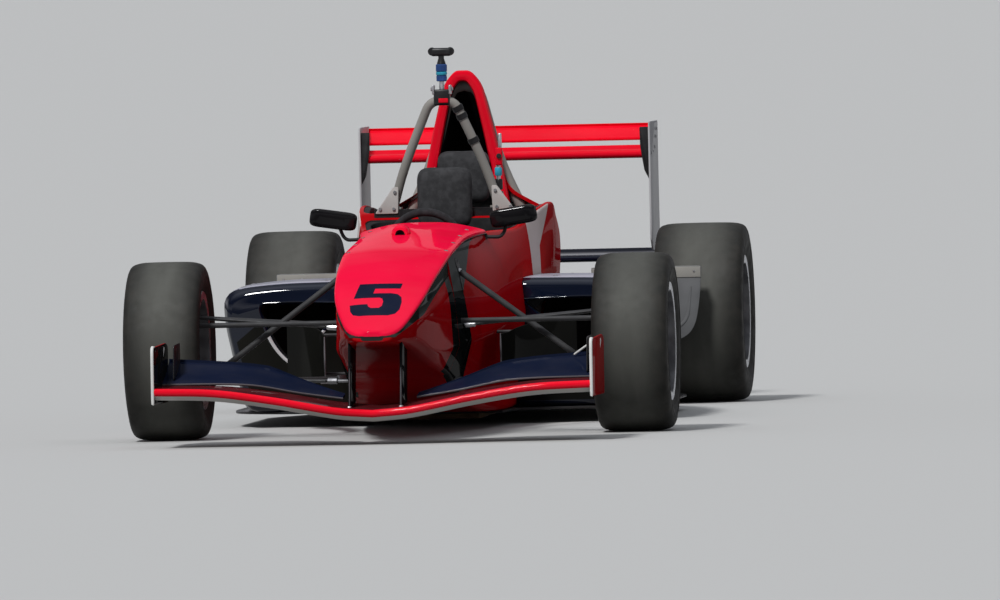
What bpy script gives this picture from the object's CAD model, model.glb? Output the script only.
# %% [markdown]
# # An open wheel racing car, dressed in its finishes
# The solids of the car are loaded first and never moved. They carry the sizes, the joints and the
# seats of every part. This lesson adds what the eye looks for: paint with depth, rubber with dust,
# rounded shells, thin fittings, padding and straps. All lengths are in metres.

# %% Load the frame
import math
import bmesh
import bpy
from mathutils import Matrix, Vector
from mathutils.bvhtree import BVHTree


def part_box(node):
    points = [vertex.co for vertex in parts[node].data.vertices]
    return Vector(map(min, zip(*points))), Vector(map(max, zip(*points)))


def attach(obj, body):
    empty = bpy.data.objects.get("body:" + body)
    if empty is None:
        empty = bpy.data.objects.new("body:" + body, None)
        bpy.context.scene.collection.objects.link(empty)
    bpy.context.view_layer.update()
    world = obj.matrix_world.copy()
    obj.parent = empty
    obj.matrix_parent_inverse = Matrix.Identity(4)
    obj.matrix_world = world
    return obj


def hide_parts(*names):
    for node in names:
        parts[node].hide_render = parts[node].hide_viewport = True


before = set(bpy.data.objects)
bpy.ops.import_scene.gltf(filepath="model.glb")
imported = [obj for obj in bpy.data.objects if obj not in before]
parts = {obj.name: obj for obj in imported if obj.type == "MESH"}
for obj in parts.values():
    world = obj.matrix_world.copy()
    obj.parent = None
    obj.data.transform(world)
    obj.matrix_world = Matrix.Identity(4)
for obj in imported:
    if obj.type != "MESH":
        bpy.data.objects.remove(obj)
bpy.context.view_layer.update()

# %% [markdown]
# The car is drawn in stations, which count metres behind the front axle. The axle's place comes from
# the front tyre's own box, so every piece below follows the frame if the car is ever packed again.

# %% Stations
front_tyre_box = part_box("tyre_front_left")
FRONT_AXLE = (front_tyre_box[0].y + front_tyre_box[1].y) / 2


def at(station):
    """The Y of a station behind the front axle."""
    return FRONT_AXLE + station


print(f"front axle at y {FRONT_AXLE:.3f}")

# %% [markdown]
# The picture was taken with a very long lens from far away, low down and a little to the car's left.
# A long lens is made here the same way: a narrow field of view and a great distance. The aim point
# sits off the middle of the car, which does the work that a lens shift would do.

# %% Camera
AZIMUTH = math.radians(5.6492)
ELEVATION = math.radians(1.3001)
ROLL = math.radians(-1.3214)
DISTANCE = 60.0
FAR_LIMIT = 2000.0
FOCAL_LENGTH = 688.126
SENSOR_WIDTH = 36.0
TARGET = Vector((0.0, 0.18, 0.3))
ASIDE = 0.00246
ABOVE = 0.00129


def make_camera():
    lens = bpy.data.cameras.new("camera")
    lens.lens = FOCAL_LENGTH
    lens.sensor_width = SENSOR_WIDTH
    lens.clip_end = FAR_LIMIT
    camera = bpy.data.objects.new("camera", lens)
    bpy.context.scene.collection.objects.link(camera)
    level = math.cos(ELEVATION)
    back = Vector((math.sin(AZIMUTH) * level, -math.cos(AZIMUTH) * level, math.sin(ELEVATION)))
    right = Vector((math.cos(AZIMUTH), math.sin(AZIMUTH), 0.0))
    up = back.cross(right)
    rolled_right = right * math.cos(ROLL) + up * math.sin(ROLL)
    rolled_up = up * math.cos(ROLL) - right * math.sin(ROLL)
    look = (rolled_right * ASIDE + rolled_up * ABOVE - back).normalized()
    side = look.cross(rolled_up).normalized()
    turn = Matrix((side, side.cross(look), -look)).transposed()
    camera.matrix_world = Matrix.Translation(TARGET + back * DISTANCE) @ turn.to_4x4()
    bpy.context.scene.camera = camera
    return camera


camera = make_camera()
print("camera at", [round(value, 2) for value in camera.location])

# %% [markdown]
# A studio for paint needs something to reflect. The world is a plain gradient by height: dark below, a
# pale band low down, dark halfway up and bright overhead, so that a flat panel and a round one read
# differently. A colour ramp on the Z of the view's direction makes it.

# %% Sky
SKY_LEVELS = [
    (0.00, (0.10, 0.10, 0.11, 1.0)),
    (0.06, (0.30, 0.30, 0.32, 1.0)),
    (0.12, (0.95, 0.95, 1.02, 1.0)),
    (0.20, (0.80, 0.80, 0.86, 1.0)),
    (0.36, (0.08, 0.08, 0.085, 1.0)),
    (0.52, (0.10, 0.10, 0.11, 1.0)),
    (0.92, (1.02, 1.07, 1.15, 1.0)),
]
SKY_STRENGTH = 0.70


def make_world():
    world = bpy.data.worlds.new("studio")
    world.use_nodes = True
    bpy.context.scene.world = world
    tree = world.node_tree
    background = tree.nodes["Background"]
    background.inputs["Strength"].default_value = SKY_STRENGTH
    direction = tree.nodes.new("ShaderNodeTexCoord")
    split = tree.nodes.new("ShaderNodeSeparateXYZ")
    ramp = tree.nodes.new("ShaderNodeValToRGB")
    for element, (height, color) in zip(ramp.color_ramp.elements, (SKY_LEVELS[0], SKY_LEVELS[-1])):
        element.position, element.color = height, color
    for height, color in SKY_LEVELS[1:-1]:
        ramp.color_ramp.elements.new(height).color = color
    tree.links.new(direction.outputs["Generated"], split.inputs["Vector"])
    tree.links.new(split.outputs["Z"], ramp.inputs["Fac"])
    tree.links.new(ramp.outputs["Color"], background.inputs["Color"])


make_world()
print(f"sky of {len(SKY_LEVELS)} levels, strength {SKY_STRENGTH}")

# %% [markdown]
# One wide soft lamp from above and ahead gives the shadow under the car and the bright line along each
# edge. A sun lamp lights the whole length of the car evenly, and its angle sets how soft the shadow is.

# %% Lamp
LAMP_STRENGTH = 2.4
LAMP_ANGLE = math.radians(9.0)
LAMP_TILT = (math.radians(38.0), math.radians(-16.0), 0.0)


def make_lamp():
    sun = bpy.data.lights.new("overhead_lamp", "SUN")
    sun.energy = LAMP_STRENGTH
    sun.angle = LAMP_ANGLE
    lamp = bpy.data.objects.new("overhead_lamp", sun)
    lamp.rotation_euler = LAMP_TILT
    bpy.context.scene.collection.objects.link(lamp)


make_lamp()
bpy.context.scene.view_settings.view_transform = "Standard"
print(f"lamp of strength {LAMP_STRENGTH}")

# %% [markdown]
# Every finish is built from nodes, and a few helpers keep each one short. One starts a material with the
# values that are the same all over it, one adds a node, and one joins two sockets.

# %% Starting a finish
COAT_ROUGHNESS = 0.04


def shader_of(finish):
    return finish.node_tree.nodes["Principled BSDF"]


def new_finish(name, color, roughness, metallic=0.0, coat=0.0, shine=0.5):
    finish = bpy.data.materials.new(name)
    finish.use_nodes = True
    finish.diffuse_color = (*color, 1.0)
    values = {"Base Color": (*color, 1.0), "Roughness": roughness, "Metallic": metallic,
              "Specular IOR Level": shine, "Coat Weight": coat, "Coat Roughness": COAT_ROUGHNESS}
    for socket, value in values.items():
        shader_of(finish).inputs[socket].default_value = value
    return finish


def add(finish, kind, sockets=None, **settings):
    made = finish.node_tree.nodes.new("ShaderNode" + kind)
    for name, value in settings.items():
        setattr(made, name, value)
    for name, value in (sockets or {}).items():
        made.inputs[name].default_value = value
    return made


def wire(finish, source, target):
    finish.node_tree.links.new(source, target)


print("finishes start with a coat of roughness", COAT_ROUGHNESS)

# %% [markdown]
# Real surfaces share a few patterns: cloudy noise, waves, and a mask with a soft edge that turns either
# into patches. All of them read Object coordinates, so they stay on the part when it moves.

# %% Patterns
def object_point(finish, scale=(1.0, 1.0, 1.0), turn=(0.0, 0.0, 0.0)):
    mapping = add(finish, "Mapping", {"Scale": scale, "Rotation": turn})
    wire(finish, add(finish, "TexCoord").outputs["Object"], mapping.inputs["Vector"])
    return mapping.outputs["Vector"]


def cloud(finish, scale, detail=3.0, stretch=(1.0, 1.0, 1.0)):
    noise = add(finish, "TexNoise", {"Scale": scale, "Detail": detail})
    wire(finish, object_point(finish, stretch), noise.inputs["Vector"])
    return noise.outputs["Fac"]


def waves(finish, scale, distortion=0.0, turn=(0.0, 0.0, 0.0), **settings):
    wave = add(finish, "TexWave", {"Scale": scale, "Distortion": distortion}, **settings)
    wire(finish, object_point(finish, turn=turn), wave.inputs["Vector"])
    return wave.outputs["Fac"]


def mask(finish, amount, low, high, to_low=0.0, to_high=1.0):
    limits = {"From Min": low, "From Max": high, "To Min": to_low, "To Max": to_high}
    fade = add(finish, "MapRange", limits, interpolation_type="SMOOTHSTEP")
    wire(finish, amount, fade.inputs["Value"])
    return fade.outputs["Result"]


def patches(finish, scale, detail, *limits):
    """Cloudy noise between two limits, and from one value to another if two more are given."""
    return mask(finish, cloud(finish, scale, detail), *limits)


def axis_of(finish, axis):
    split = add(finish, "SeparateXYZ")
    wire(finish, add(finish, "TexCoord").outputs["Object"], split.inputs["Vector"])
    return split.outputs[axis]


def facing_up(finish):
    split = add(finish, "SeparateXYZ")
    wire(finish, add(finish, "NewGeometry").outputs["Normal"], split.inputs["Vector"])
    return split.outputs["Z"]


print("patterns read Object coordinates")

# %% [markdown]
# The patterns are combined by plain arithmetic and by mixing colours, and the result goes to the shader
# as its colour, its roughness or its bump.

# %% Mixing patterns
def math_of(finish, operation, first, second):
    made = add(finish, "Math", operation=operation)
    for socket, value in zip(made.inputs, (first, second)):
        if isinstance(value, (int, float)):
            socket.default_value = value
        else:
            wire(finish, value, socket)
    return made.outputs["Value"]


def product(finish, first, second):
    return math_of(finish, "MULTIPLY", first, second)


def blend_colors(finish, amount, first, second):
    made = add(finish, "Mix", data_type="RGBA")
    wire(finish, amount, made.inputs["Factor"])
    for name, value in (("A", first), ("B", second)):
        socket = next(s for s in made.inputs if s.name == name and s.type == "RGBA")
        if isinstance(value, tuple):
            socket.default_value = (*value, 1.0)
        else:
            wire(finish, value, socket)
    return next(s for s in made.outputs if s.type == "RGBA")


def set_color(finish, color):
    wire(finish, color, shader_of(finish).inputs["Base Color"])


def set_roughness(finish, amount):
    wire(finish, amount, shader_of(finish).inputs["Roughness"])


def set_bump(finish, height, strength, distance=0.001):
    bump = add(finish, "Bump", {"Strength": strength, "Distance": distance})
    wire(finish, height, bump.inputs["Height"])
    wire(finish, bump.outputs["Normal"], shader_of(finish).inputs["Normal"])


print("patterns set colour, roughness and bump")

# %% [markdown]
# Sprayed gelcoat is colour under clear lacquer. Up close the lacquer has a faint ripple, the colour
# is never quite even, road dust settles on what faces up, and grit leaves small grey chips on what
# faces the road. A thin clear coat on the shader gives the depth, and three masks give the rest.

# %% Lacquered paint
DUST = (0.30, 0.26, 0.22)
CHIP = (0.42, 0.40, 0.38)
CHIP_CELLS = 95.0
PAINT_ROUGHNESS = 0.30


def lacquer(name, color, shade, dust=0.06, chips=0.0, coat=0.22):
    finish = new_finish(name, color, PAINT_ROUGHNESS, coat=coat, shine=0.0)
    even = blend_colors(finish, patches(finish, 3.0, 3.0, 0.35, 0.65), color, shade)
    settled = product(finish, mask(finish, facing_up(finish), 0.2, 1.0), dust)
    patchy = product(finish, settled, patches(finish, 9.0, 6.0, 0.35, 0.75))
    painted = blend_colors(finish, patchy, even, DUST)
    if chips:
        cells = add(finish, "TexVoronoi", {"Scale": CHIP_CELLS})
        wire(finish, object_point(finish), cells.inputs["Vector"])
        dots = mask(finish, cells.outputs["Distance"], 0.16, 0.10)
        rare = patches(finish, 60.0, 3.0, 0.72 - chips, 0.74 - chips)
        painted = blend_colors(finish, product(finish, dots, rare), painted, CHIP)
    set_color(finish, painted)
    set_roughness(finish, patches(finish, 14.0, 5.0, 0.3, 0.8, PAINT_ROUGHNESS, PAINT_ROUGHNESS + 0.12))
    set_bump(finish, cloud(finish, 420.0, 2.0), 0.05, 0.0004)
    return finish


livery_red = lacquer("livery_red", (0.48, 0.003, 0.006), (0.41, 0.002, 0.005), dust=0.0,
                     chips=0.02, coat=0.14)
cover_red = lacquer("cover_red", (0.92, 0.005, 0.050), (0.84, 0.004, 0.042), dust=0.02, chips=0.02)
bead_red = lacquer("bead_red", (0.86, 0.004, 0.022), (0.76, 0.003, 0.018), dust=0.02, chips=0.03)
plate_red = lacquer("plate_red", (0.30, 0.004, 0.006), (0.24, 0.003, 0.005), dust=0.03)
wing_shadow = lacquer("wing_shadow", (0.10, 0.008, 0.012), (0.07, 0.006, 0.009), dust=0.05)
navy_paint = lacquer("navy_paint", (0.004, 0.007, 0.018), (0.003, 0.005, 0.014), dust=0.01, coat=0.8)
navy_film = lacquer("navy_film", (0.008, 0.012, 0.032), (0.006, 0.010, 0.028), dust=0.02, coat=0.1)
print("reds and navy mixed")

# %% [markdown]
# The other paints are greys, blacks and off whites from the same spray gun. They differ in how dark they
# are and in how much dust they hold.

# %% Greys, blacks and whites
strip_paint = lacquer("strip_paint", (0.026, 0.034, 0.030), (0.018, 0.024, 0.021), dust=0.03)
mottled_grey = lacquer("mottled_grey", (0.19, 0.195, 0.20), (0.085, 0.088, 0.092), dust=0.05)
shelf_grey = lacquer("shelf_grey", (0.36, 0.35, 0.32), (0.25, 0.245, 0.23), dust=0.03)
hoop_paint = lacquer("hoop_paint", (0.30, 0.29, 0.27), (0.25, 0.24, 0.22), dust=0.10)
gusset_grey = lacquer("gusset_grey", (0.56, 0.53, 0.50), (0.49, 0.46, 0.44), dust=0.05)
belly_grey = lacquer("belly_grey", (0.78, 0.76, 0.72), (0.70, 0.68, 0.64), dust=0.03)
grey_paint = lacquer("grey_paint", (0.30, 0.30, 0.30), (0.25, 0.25, 0.25), dust=0.08)
ear_grey = lacquer("ear_grey", (0.66, 0.57, 0.54), (0.58, 0.50, 0.47), dust=0.03)
flap_edge = lacquer("flap_edge", (0.17, 0.16, 0.17), (0.13, 0.12, 0.13), dust=0.02)
lip_paint = lacquer("lip_paint", (0.62, 0.62, 0.63), (0.54, 0.54, 0.55), dust=0.02)
pod_film = lacquer("pod_film", (0.40, 0.40, 0.47), (0.34, 0.34, 0.40), dust=0.02, coat=0.4)
pod_black = lacquer("pod_black", (0.013, 0.013, 0.011), (0.009, 0.009, 0.008), dust=0.01, coat=0.05)
band_grey = lacquer("band_grey", (0.085, 0.092, 0.090), (0.070, 0.076, 0.074), dust=0.02, coat=0.15)
band_black = lacquer("band_black", (0.006, 0.008, 0.007), (0.004, 0.005, 0.005), dust=0.0, coat=0.12)
silver_paint = lacquer("silver_paint", (0.50, 0.50, 0.51), (0.44, 0.44, 0.45), dust=0.05)
black_lacquer = lacquer("black_lacquer", (0.010, 0.010, 0.011), (0.006, 0.006, 0.007), dust=0.05)
white_paint = lacquer("white_paint", (0.78, 0.78, 0.76), (0.70, 0.70, 0.68), dust=0.10)
print(len(bpy.data.materials), "paints mixed")

# %% [markdown]
# Carbon cloth is woven two over, two under. Seen from a step away it is a fine diagonal grain under
# a thin resin. Two waves at right angles, one for each set of threads, make that grain.

# %% Carbon cloth
CARBON_TOW = 0.0021
CARBON_BLACK = (0.012, 0.012, 0.013)
CARBON_ROUGHNESS = 0.38


def carbon(name, color, roughness):
    finish = new_finish(name, color, roughness, coat=0.2, shine=0.1)
    turns = [math.radians(45.0), math.radians(-45.0)]
    threads = product(finish, *[waves(finish, 0.31 / CARBON_TOW, turn=(turn, 0.0, turn)) for turn in turns])
    light = tuple(min(1.0, channel * 2.6 + 0.008) for channel in color)
    cloth = blend_colors(finish, mask(finish, threads, 0.1, 0.7), color, light)
    dusty = product(finish, patches(finish, 6.0, 5.0, 0.45, 0.8), 0.06)
    set_color(finish, blend_colors(finish, dusty, cloth, DUST))
    set_roughness(finish, patches(finish, 22.0, 4.0, 0.3, 0.8, roughness, roughness + 0.2))
    set_bump(finish, threads, 0.12, 0.0003)
    return finish


carbon_cloth = carbon("carbon_cloth", CARBON_BLACK, CARBON_ROUGHNESS)
print(f"carbon cloth with threads {CARBON_TOW * 1000:.1f} mm wide")

# %% [markdown]
# A slick tyre is never black. The tread picks up dust and rubber crumbs, so it is a warm grey with
# fine rings round it, worn lighter in the middle. The side keeps its brown bloom.

# %% Tyre rubber
SIDES = {"left": 1, "right": -1}
WHEELS = [(end, side) for end in ("front", "rear") for side in SIDES]
TREAD_GREY = (0.092, 0.093, 0.083)
SIDE_DARK = (0.016, 0.016, 0.0145)
SIDE_BLOOM = (0.026, 0.024, 0.021)


def tyre_rubber(name, middle, half_tread):
    finish = new_finish(name, (0.045, 0.043, 0.040), 0.75, shine=0.2)
    across = math_of(finish, "ABSOLUTE", math_of(finish, "SUBTRACT", axis_of(finish, "X"), middle), 0.0)
    worn = mask(finish, across, half_tread, half_tread * 0.15)
    cloudy = mask(finish, cloud(finish, 7.0, 4.0, (2.5, 0.6, 0.6)), 0.35, 0.7)
    scuffed = product(finish, worn, math_of(finish, "ADD", product(finish, cloudy, 0.22), 0.78))
    side = blend_colors(finish, patches(finish, 26.0, 5.0, 0.3, 0.75), SIDE_DARK, SIDE_BLOOM)
    set_color(finish, blend_colors(finish, scuffed, side, TREAD_GREY))
    rings = waves(finish, 90.0, 1.5, bands_direction="X")
    set_bump(finish, math_of(finish, "ADD", product(finish, rings, 0.3), cloud(finish, 320.0, 4.0)),
             0.25, 0.0005)
    set_roughness(finish, patches(finish, 30.0, 4.0, 0.3, 0.8, 0.60, 0.80))
    return finish


def wheel_rubber(end, side):
    low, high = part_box(f"tyre_{end}_{side}")
    return tyre_rubber(f"rubber_{end}_{side}", (low.x + high.x) / 2, (high.x - low.x) / 2 * 0.96)


rubber = {wheel: wheel_rubber(*wheel) for wheel in WHEELS}
print(len(rubber), "kinds of rubber, one for each tyre's own middle")

# %% [markdown]
# Bare metals differ by how they were worked. A cast case is rough and mottled, a turned part has fine
# rings, a steel link has been handled and greased.

# %% Metals
def metal(name, color, roughness, mottle=0.25, grain=180.0, strength=0.10, metallic=1.0, shine=0.5):
    finish = new_finish(name, color, roughness, metallic=metallic, shine=shine)
    dark = tuple(channel * (1.0 - mottle) for channel in color)
    set_color(finish, blend_colors(finish, patches(finish, 25.0, 6.0, 0.3, 0.7), dark, color))
    set_roughness(finish, patches(finish, 50.0, 5.0, 0.25, 0.8, roughness, min(1.0, roughness + 0.25)))
    set_bump(finish, cloud(finish, grain, 3.0), strength, 0.0004)
    return finish


cast_alloy = metal("cast_alloy", (0.42, 0.42, 0.43), 0.50, mottle=0.35, grain=260.0, strength=0.35)
rim_alloy = metal("rim_alloy", (0.60, 0.61, 0.64), 0.24, mottle=0.18)
machined_alloy = metal("machined_alloy", (0.58, 0.58, 0.60), 0.28)
steel = metal("steel", (0.46, 0.46, 0.47), 0.30)
dark_steel = metal("dark_steel", (0.20, 0.20, 0.21), 0.40, mottle=0.4)
arm_paint = metal("arm_paint", (0.050, 0.050, 0.052), 0.45, mottle=0.3, metallic=0.0,
                  strength=0.05, shine=0.25)
mirror_glass = metal("mirror_glass", (0.80, 0.82, 0.84), 0.03, mottle=0.03, strength=0.0)
nut_anodised = metal("nut_anodised", (0.55, 0.05, 0.04), 0.30, mottle=0.2)
print("metals mixed, the mirror's silver among them")

# %% [markdown]
# The radiator core is a stack of thin fins between flat tubes. One fine wave across the core and one
# coarse wave up it are enough at this distance.

# %% Radiator core
def radiator_core():
    finish = new_finish("radiator_core", (0.10, 0.10, 0.105), 0.45, metallic=0.8)
    fins, tubes = waves(finish, 110.0, bands_direction="X"), waves(finish, 28.0, bands_direction="Z")
    pattern = product(finish, fins, tubes)
    set_color(finish, blend_colors(finish, pattern, (0.015, 0.015, 0.016), (0.22, 0.22, 0.23)))
    set_bump(finish, pattern, 0.8, 0.002)
    return finish


core_fins = radiator_core()
print(core_fins.name, "has fins and tubes")

# %% [markdown]
# Soft trim and mouldings: the seat shell is bare moulded plastic, the headrests are covered foam and
# the steering grip is suede.

# %% Trim
def trim(name, color, roughness, grain, strength=0.3):
    finish = new_finish(name, color, roughness, shine=0.25)
    lighter = tuple(channel * 1.5 + 0.004 for channel in color)
    set_color(finish, blend_colors(finish, patches(finish, grain * 0.1, 5.0, 0.35, 0.7), color, lighter))
    set_bump(finish, cloud(finish, grain, 3.0), strength, 0.0006)
    return finish


seat_plastic = trim("seat_plastic", (0.018, 0.018, 0.019), 0.42, 240.0)
suede = trim("suede", (0.022, 0.022, 0.024), 0.92, 600.0, 0.5)
foam_cover = trim("foam_cover", (0.030, 0.030, 0.032), 0.80, 500.0, 0.4)
camera_plastic = trim("camera_plastic", (0.014, 0.014, 0.015), 0.36, 420.0, 0.15)
camera_blue = trim("camera_blue", (0.020, 0.060, 0.200), 0.34, 300.0, 0.15)
camera_cyan = trim("camera_cyan", (0.030, 0.300, 0.420), 0.32, 300.0, 0.15)
pad_cloth = trim("pad_cloth", (0.022, 0.022, 0.024), 0.88, 900.0, 0.5)
webbing = trim("webbing", (0.030, 0.030, 0.034), 0.82, 1400.0, 0.5)
lens_red = trim("lens_red", (0.30, 0.006, 0.008), 0.18, 200.0, 0.05)
matt_black = trim("matt_black", (0.012, 0.012, 0.013), 0.55, 300.0, 0.2)
plank_board = trim("plank_board", (0.120, 0.075, 0.040), 0.70, 120.0, 0.5)
print(len(bpy.data.materials), "finishes in all")

# %% [markdown]
# The shapes come from short tables. They are read along a smooth curve, so that a few measured rows
# give a whole flowing surface, and the corners of a section are softened into short curves.

# %% Smooth tables and lines
def between(rows, place):
    """The row at a place, read along a smooth curve through the table's rows."""
    last = len(rows) - 1
    index = max([0] + [k for k in range(last) if rows[k][0] <= place])
    before, after = rows[index], rows[index + 1]
    span = after[0] - before[0]
    t = (place - before[0]) / span

    def slope(k, column):
        low, high = rows[max(k - 1, 0)], rows[min(k + 1, last)]
        return (high[column] - low[column]) / (high[0] - low[0]) * span

    weights = (2 * t**3 - 3 * t**2 + 1, t**3 - 2 * t**2 + t, 3 * t**2 - 2 * t**3, t**3 - t**2)
    values = []
    for column in range(1, len(before)):
        terms = (before[column], slope(index, column), after[column], slope(index + 1, column))
        values.append(sum(weight * term for weight, term in zip(weights, terms)))
    return values


def steps(first, last, pitch):
    count = max(1, round(abs(last - first) / pitch))
    return [first + (last - first) * step / count for step in range(count + 1)]


def softened(points, radii, closed=False, arc=5):
    """Each corner of an outline becomes a short curve. A corner with no radius stays one point."""
    line = []
    for index, (corner, radius) in enumerate(zip(points, radii)):
        corner = Vector(corner)
        if radius == 0 or (not closed and index in (0, len(points) - 1)):
            line.append(corner)
            continue
        ends = []
        for other in (points[index - 1], points[(index + 1) % len(points)]):
            way = Vector(other) - corner
            ends.append(corner + way.normalized() * min(radius, way.length * 0.49))
        for step in range(arc + 1):
            t = step / arc
            line.append(ends[0] * (1 - t) ** 2 + corner * (2 * t * (1 - t)) + ends[1] * t**2)
    return line


print("half way between two rows:", between([(0.0, 1.0), (1.0, 2.0)], 0.5))

# %% [markdown]
# A body panel is shaped the way a lofted mould is: one section after another is drawn as a chain of
# points, and each chain is bridged to the next. Each vertex remembers its place along the section, and
# a zone of places can take another finish. What is drawn on one side is mirrored, and its ends closed.

# %% Shells from sections
def new_shell():
    bm = bmesh.new()
    bm.verts.layers.int.new("place")
    return bm


def chain(bm, points, closed=False):
    place = bm.verts.layers.int["place"]
    verts = [bm.verts.new(point) for point in points]
    for index, vert in enumerate(verts):
        vert[place] = index
    pairs = list(zip(verts, verts[1:]))
    if closed:
        pairs.append((verts[-1], verts[0]))
    return [bm.edges.new(pair) for pair in pairs]


def skin(bm, sections, closed=False):
    chains = [chain(bm, points, closed) for points in sections]
    for before, after in zip(chains, chains[1:]):
        bmesh.ops.bridge_loops(bm, edges=before + after)
    return chains


def zone(bm, low, high, index):
    """Faces with all corners between two places along the section take another finish."""
    place = bm.verts.layers.int["place"]
    for face in bm.faces:
        if all(low <= vert[place] <= high for vert in face.verts):
            face.material_index = index


def cut_across(bm, spot, normal, dist=1e-6):
    geometry = bm.verts[:] + bm.edges[:] + bm.faces[:]
    bmesh.ops.bisect_plane(bm, geom=geometry, dist=dist, plane_co=spot, plane_no=normal)


def both_halves(bm):
    bmesh.ops.mirror(bm, geom=bm.verts[:] + bm.edges[:] + bm.faces[:], axis="X", merge_dist=1e-5)


def close_ends(bm):
    bmesh.ops.remove_doubles(bm, verts=bm.verts, dist=2e-5)
    bmesh.ops.dissolve_degenerate(bm, dist=1e-6, edges=bm.edges)
    bmesh.ops.holes_fill(bm, edges=[edge for edge in bm.edges if edge.is_boundary], sides=0)


def mirror_and_close(bm):
    both_halves(bm)
    close_ends(bm)


print("shells are bridged from section to section, and mirrored at X 0")

# %% [markdown]
# A finished mesh becomes a piece. Edges sharper than a given angle stay sharp, and the rest is shaded
# smooth. The piece then rides a body, stands in for solids, and belongs to a slot of finishes.

# %% From mesh to piece
def make_piece(name, bm, finishes, slot, body="chassis", replaces=(), shade=32.0):
    """The mesh becomes a piece: smooth but for its sharp edges, riding its body, in its slot."""
    bmesh.ops.remove_doubles(bm, verts=bm.verts, dist=1e-5)
    bmesh.ops.recalc_face_normals(bm, faces=bm.faces)
    for face in bm.faces:
        face.smooth = True
    for edge in bm.edges:
        edge.smooth = not edge.is_manifold or edge.calc_face_angle(0.0) < math.radians(shade)
    mesh = bpy.data.meshes.new(name)
    bm.to_mesh(mesh)
    bm.free()
    piece = bpy.data.objects.new(name, mesh)
    bpy.context.scene.collection.objects.link(piece)
    for finish in finishes:
        mesh.materials.append(finish)
    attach(piece, body)
    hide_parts(*replaces)
    print(f"{name}: {len(mesh.polygons)} faces")
    return piece


print("each piece prints its number of faces")

# %% [markdown]
# The body is one flowing form from the nose to the bulkhead behind the second seat. In the table, each
# row gives a station, and then half the width and the height of four lines that run along the car: the
# top edge, the waist, the chine and the bottom edge.

# %% Body lines
BODY_ROWS = [
    (-0.900, 0.058, 0.328, 0.062, 0.322, 0.060, 0.314, 0.050, 0.308),
    (-0.840, 0.086, 0.358, 0.092, 0.340, 0.086, 0.316, 0.070, 0.300),
    (-0.690, 0.124, 0.425, 0.128, 0.370, 0.120, 0.308, 0.098, 0.280),
    (-0.470, 0.144, 0.488, 0.154, 0.400, 0.150, 0.268, 0.122, 0.232),
    (-0.150, 0.157, 0.546, 0.178, 0.420, 0.190, 0.275, 0.150, 0.181),
    (0.000, 0.158, 0.562, 0.185, 0.430, 0.205, 0.285, 0.160, 0.128),
    (0.400, 0.160, 0.592, 0.200, 0.470, 0.232, 0.300, 0.190, 0.064),
    (0.800, 0.198, 0.605, 0.235, 0.500, 0.262, 0.330, 0.225, 0.050),
    (1.230, 0.246, 0.610, 0.266, 0.520, 0.281, 0.352, 0.238, 0.050),
    (1.520, 0.284, 0.658, 0.292, 0.552, 0.294, 0.374, 0.246, 0.050),
    (1.800, 0.300, 0.676, 0.308, 0.582, 0.301, 0.398, 0.250, 0.050),
    (2.090, 0.280, 0.644, 0.300, 0.560, 0.290, 0.400, 0.240, 0.050),
]
NOSE_TIP = -0.900
NOSE_SEAM = -0.150
STRIP_DEPTH = 0.058


def body_lines(station):
    values = between(BODY_ROWS, station)
    return list(zip(values[0::2], values[1::2]))


def placed(station, outline):
    return [(x, at(station), z) for x, z in outline]


print(f"the body is {2 * body_lines(0.0)[2][0]:.3f} m wide at the front axle")

# %% [markdown]
# Grey bands and a dark strip are painted on the shells. A shell is cut along the edges of a band, and
# the faces inside take the band's finish. Above a given height the rear edge of a band leans back.

# %% Painted bands
FRONT_BAND = (-0.240, 0.050)
EAR_BAND = (1.330, 1.480)
BAND_SPLIT, EAR_SPLIT = 0.440, 0.545
FRONT_LEAN, EAR_LEAN = 2.9, 1.7
STRIP_ENDS = (-0.150, 0.600)


def strip_edge(station):
    """The lower edge of the dark strip under the hatch, which thins out to nothing at its back."""
    first, last = STRIP_ENDS
    low, high = body_lines(first)[0][1] - STRIP_DEPTH, body_lines(last)[0][1]
    return low + (high - low) * (station - first) / (last - first)


def paint_bands(bm):
    """Cuts the shell along the edges of the painted bands, and gives each band its own finish."""
    first, last = STRIP_ENDS
    slope = (strip_edge(last) - strip_edge(first)) / (last - first)
    cut_across(bm, (0, at(first), strip_edge(first)), (0, -slope, 1))
    for (near, far), height, lean in ((FRONT_BAND, BAND_SPLIT, FRONT_LEAN), (EAR_BAND, EAR_SPLIT, EAR_LEAN)):
        cut_across(bm, (0, at(near), 0), (0, 1, 0))
        cut_across(bm, (0, at(far), 0), (0, 1, 0))
        cut_across(bm, (0, 0, height), (0, 0, 1))
        cut_across(bm, (0, at(far), height), (0, 1, -lean))
    for face in bm.faces:
        spot = face.calc_center_median()
        station = spot.y - FRONT_AXLE
        top = body_lines(station)[0]
        outside = face.material_index == 0 and spot.x > top[0] * 0.9 and spot.z < top[1] - 0.003
        if not outside:
            continue
        if FRONT_BAND[0] < station < FRONT_BAND[1] + max(0.0, spot.z - BAND_SPLIT) * FRONT_LEAN:
            face.material_index = 3 if spot.z > BAND_SPLIT else 4
        elif EAR_BAND[0] < station < EAR_BAND[1] + max(0.0, spot.z - EAR_SPLIT) * EAR_LEAN:
            face.material_index = 5
        elif first < station < last and spot.z > strip_edge(station):
            face.material_index = 2


print(f"the dark strip starts {STRIP_DEPTH * 1000:.0f} mm deep")

# %% [markdown]
# The nose is the front part of that form. Three smaller sections close its tip. Its top, which a cover
# hides, and a strip just under the cover's edge are dark, where the real car has bare carbon.

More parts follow.
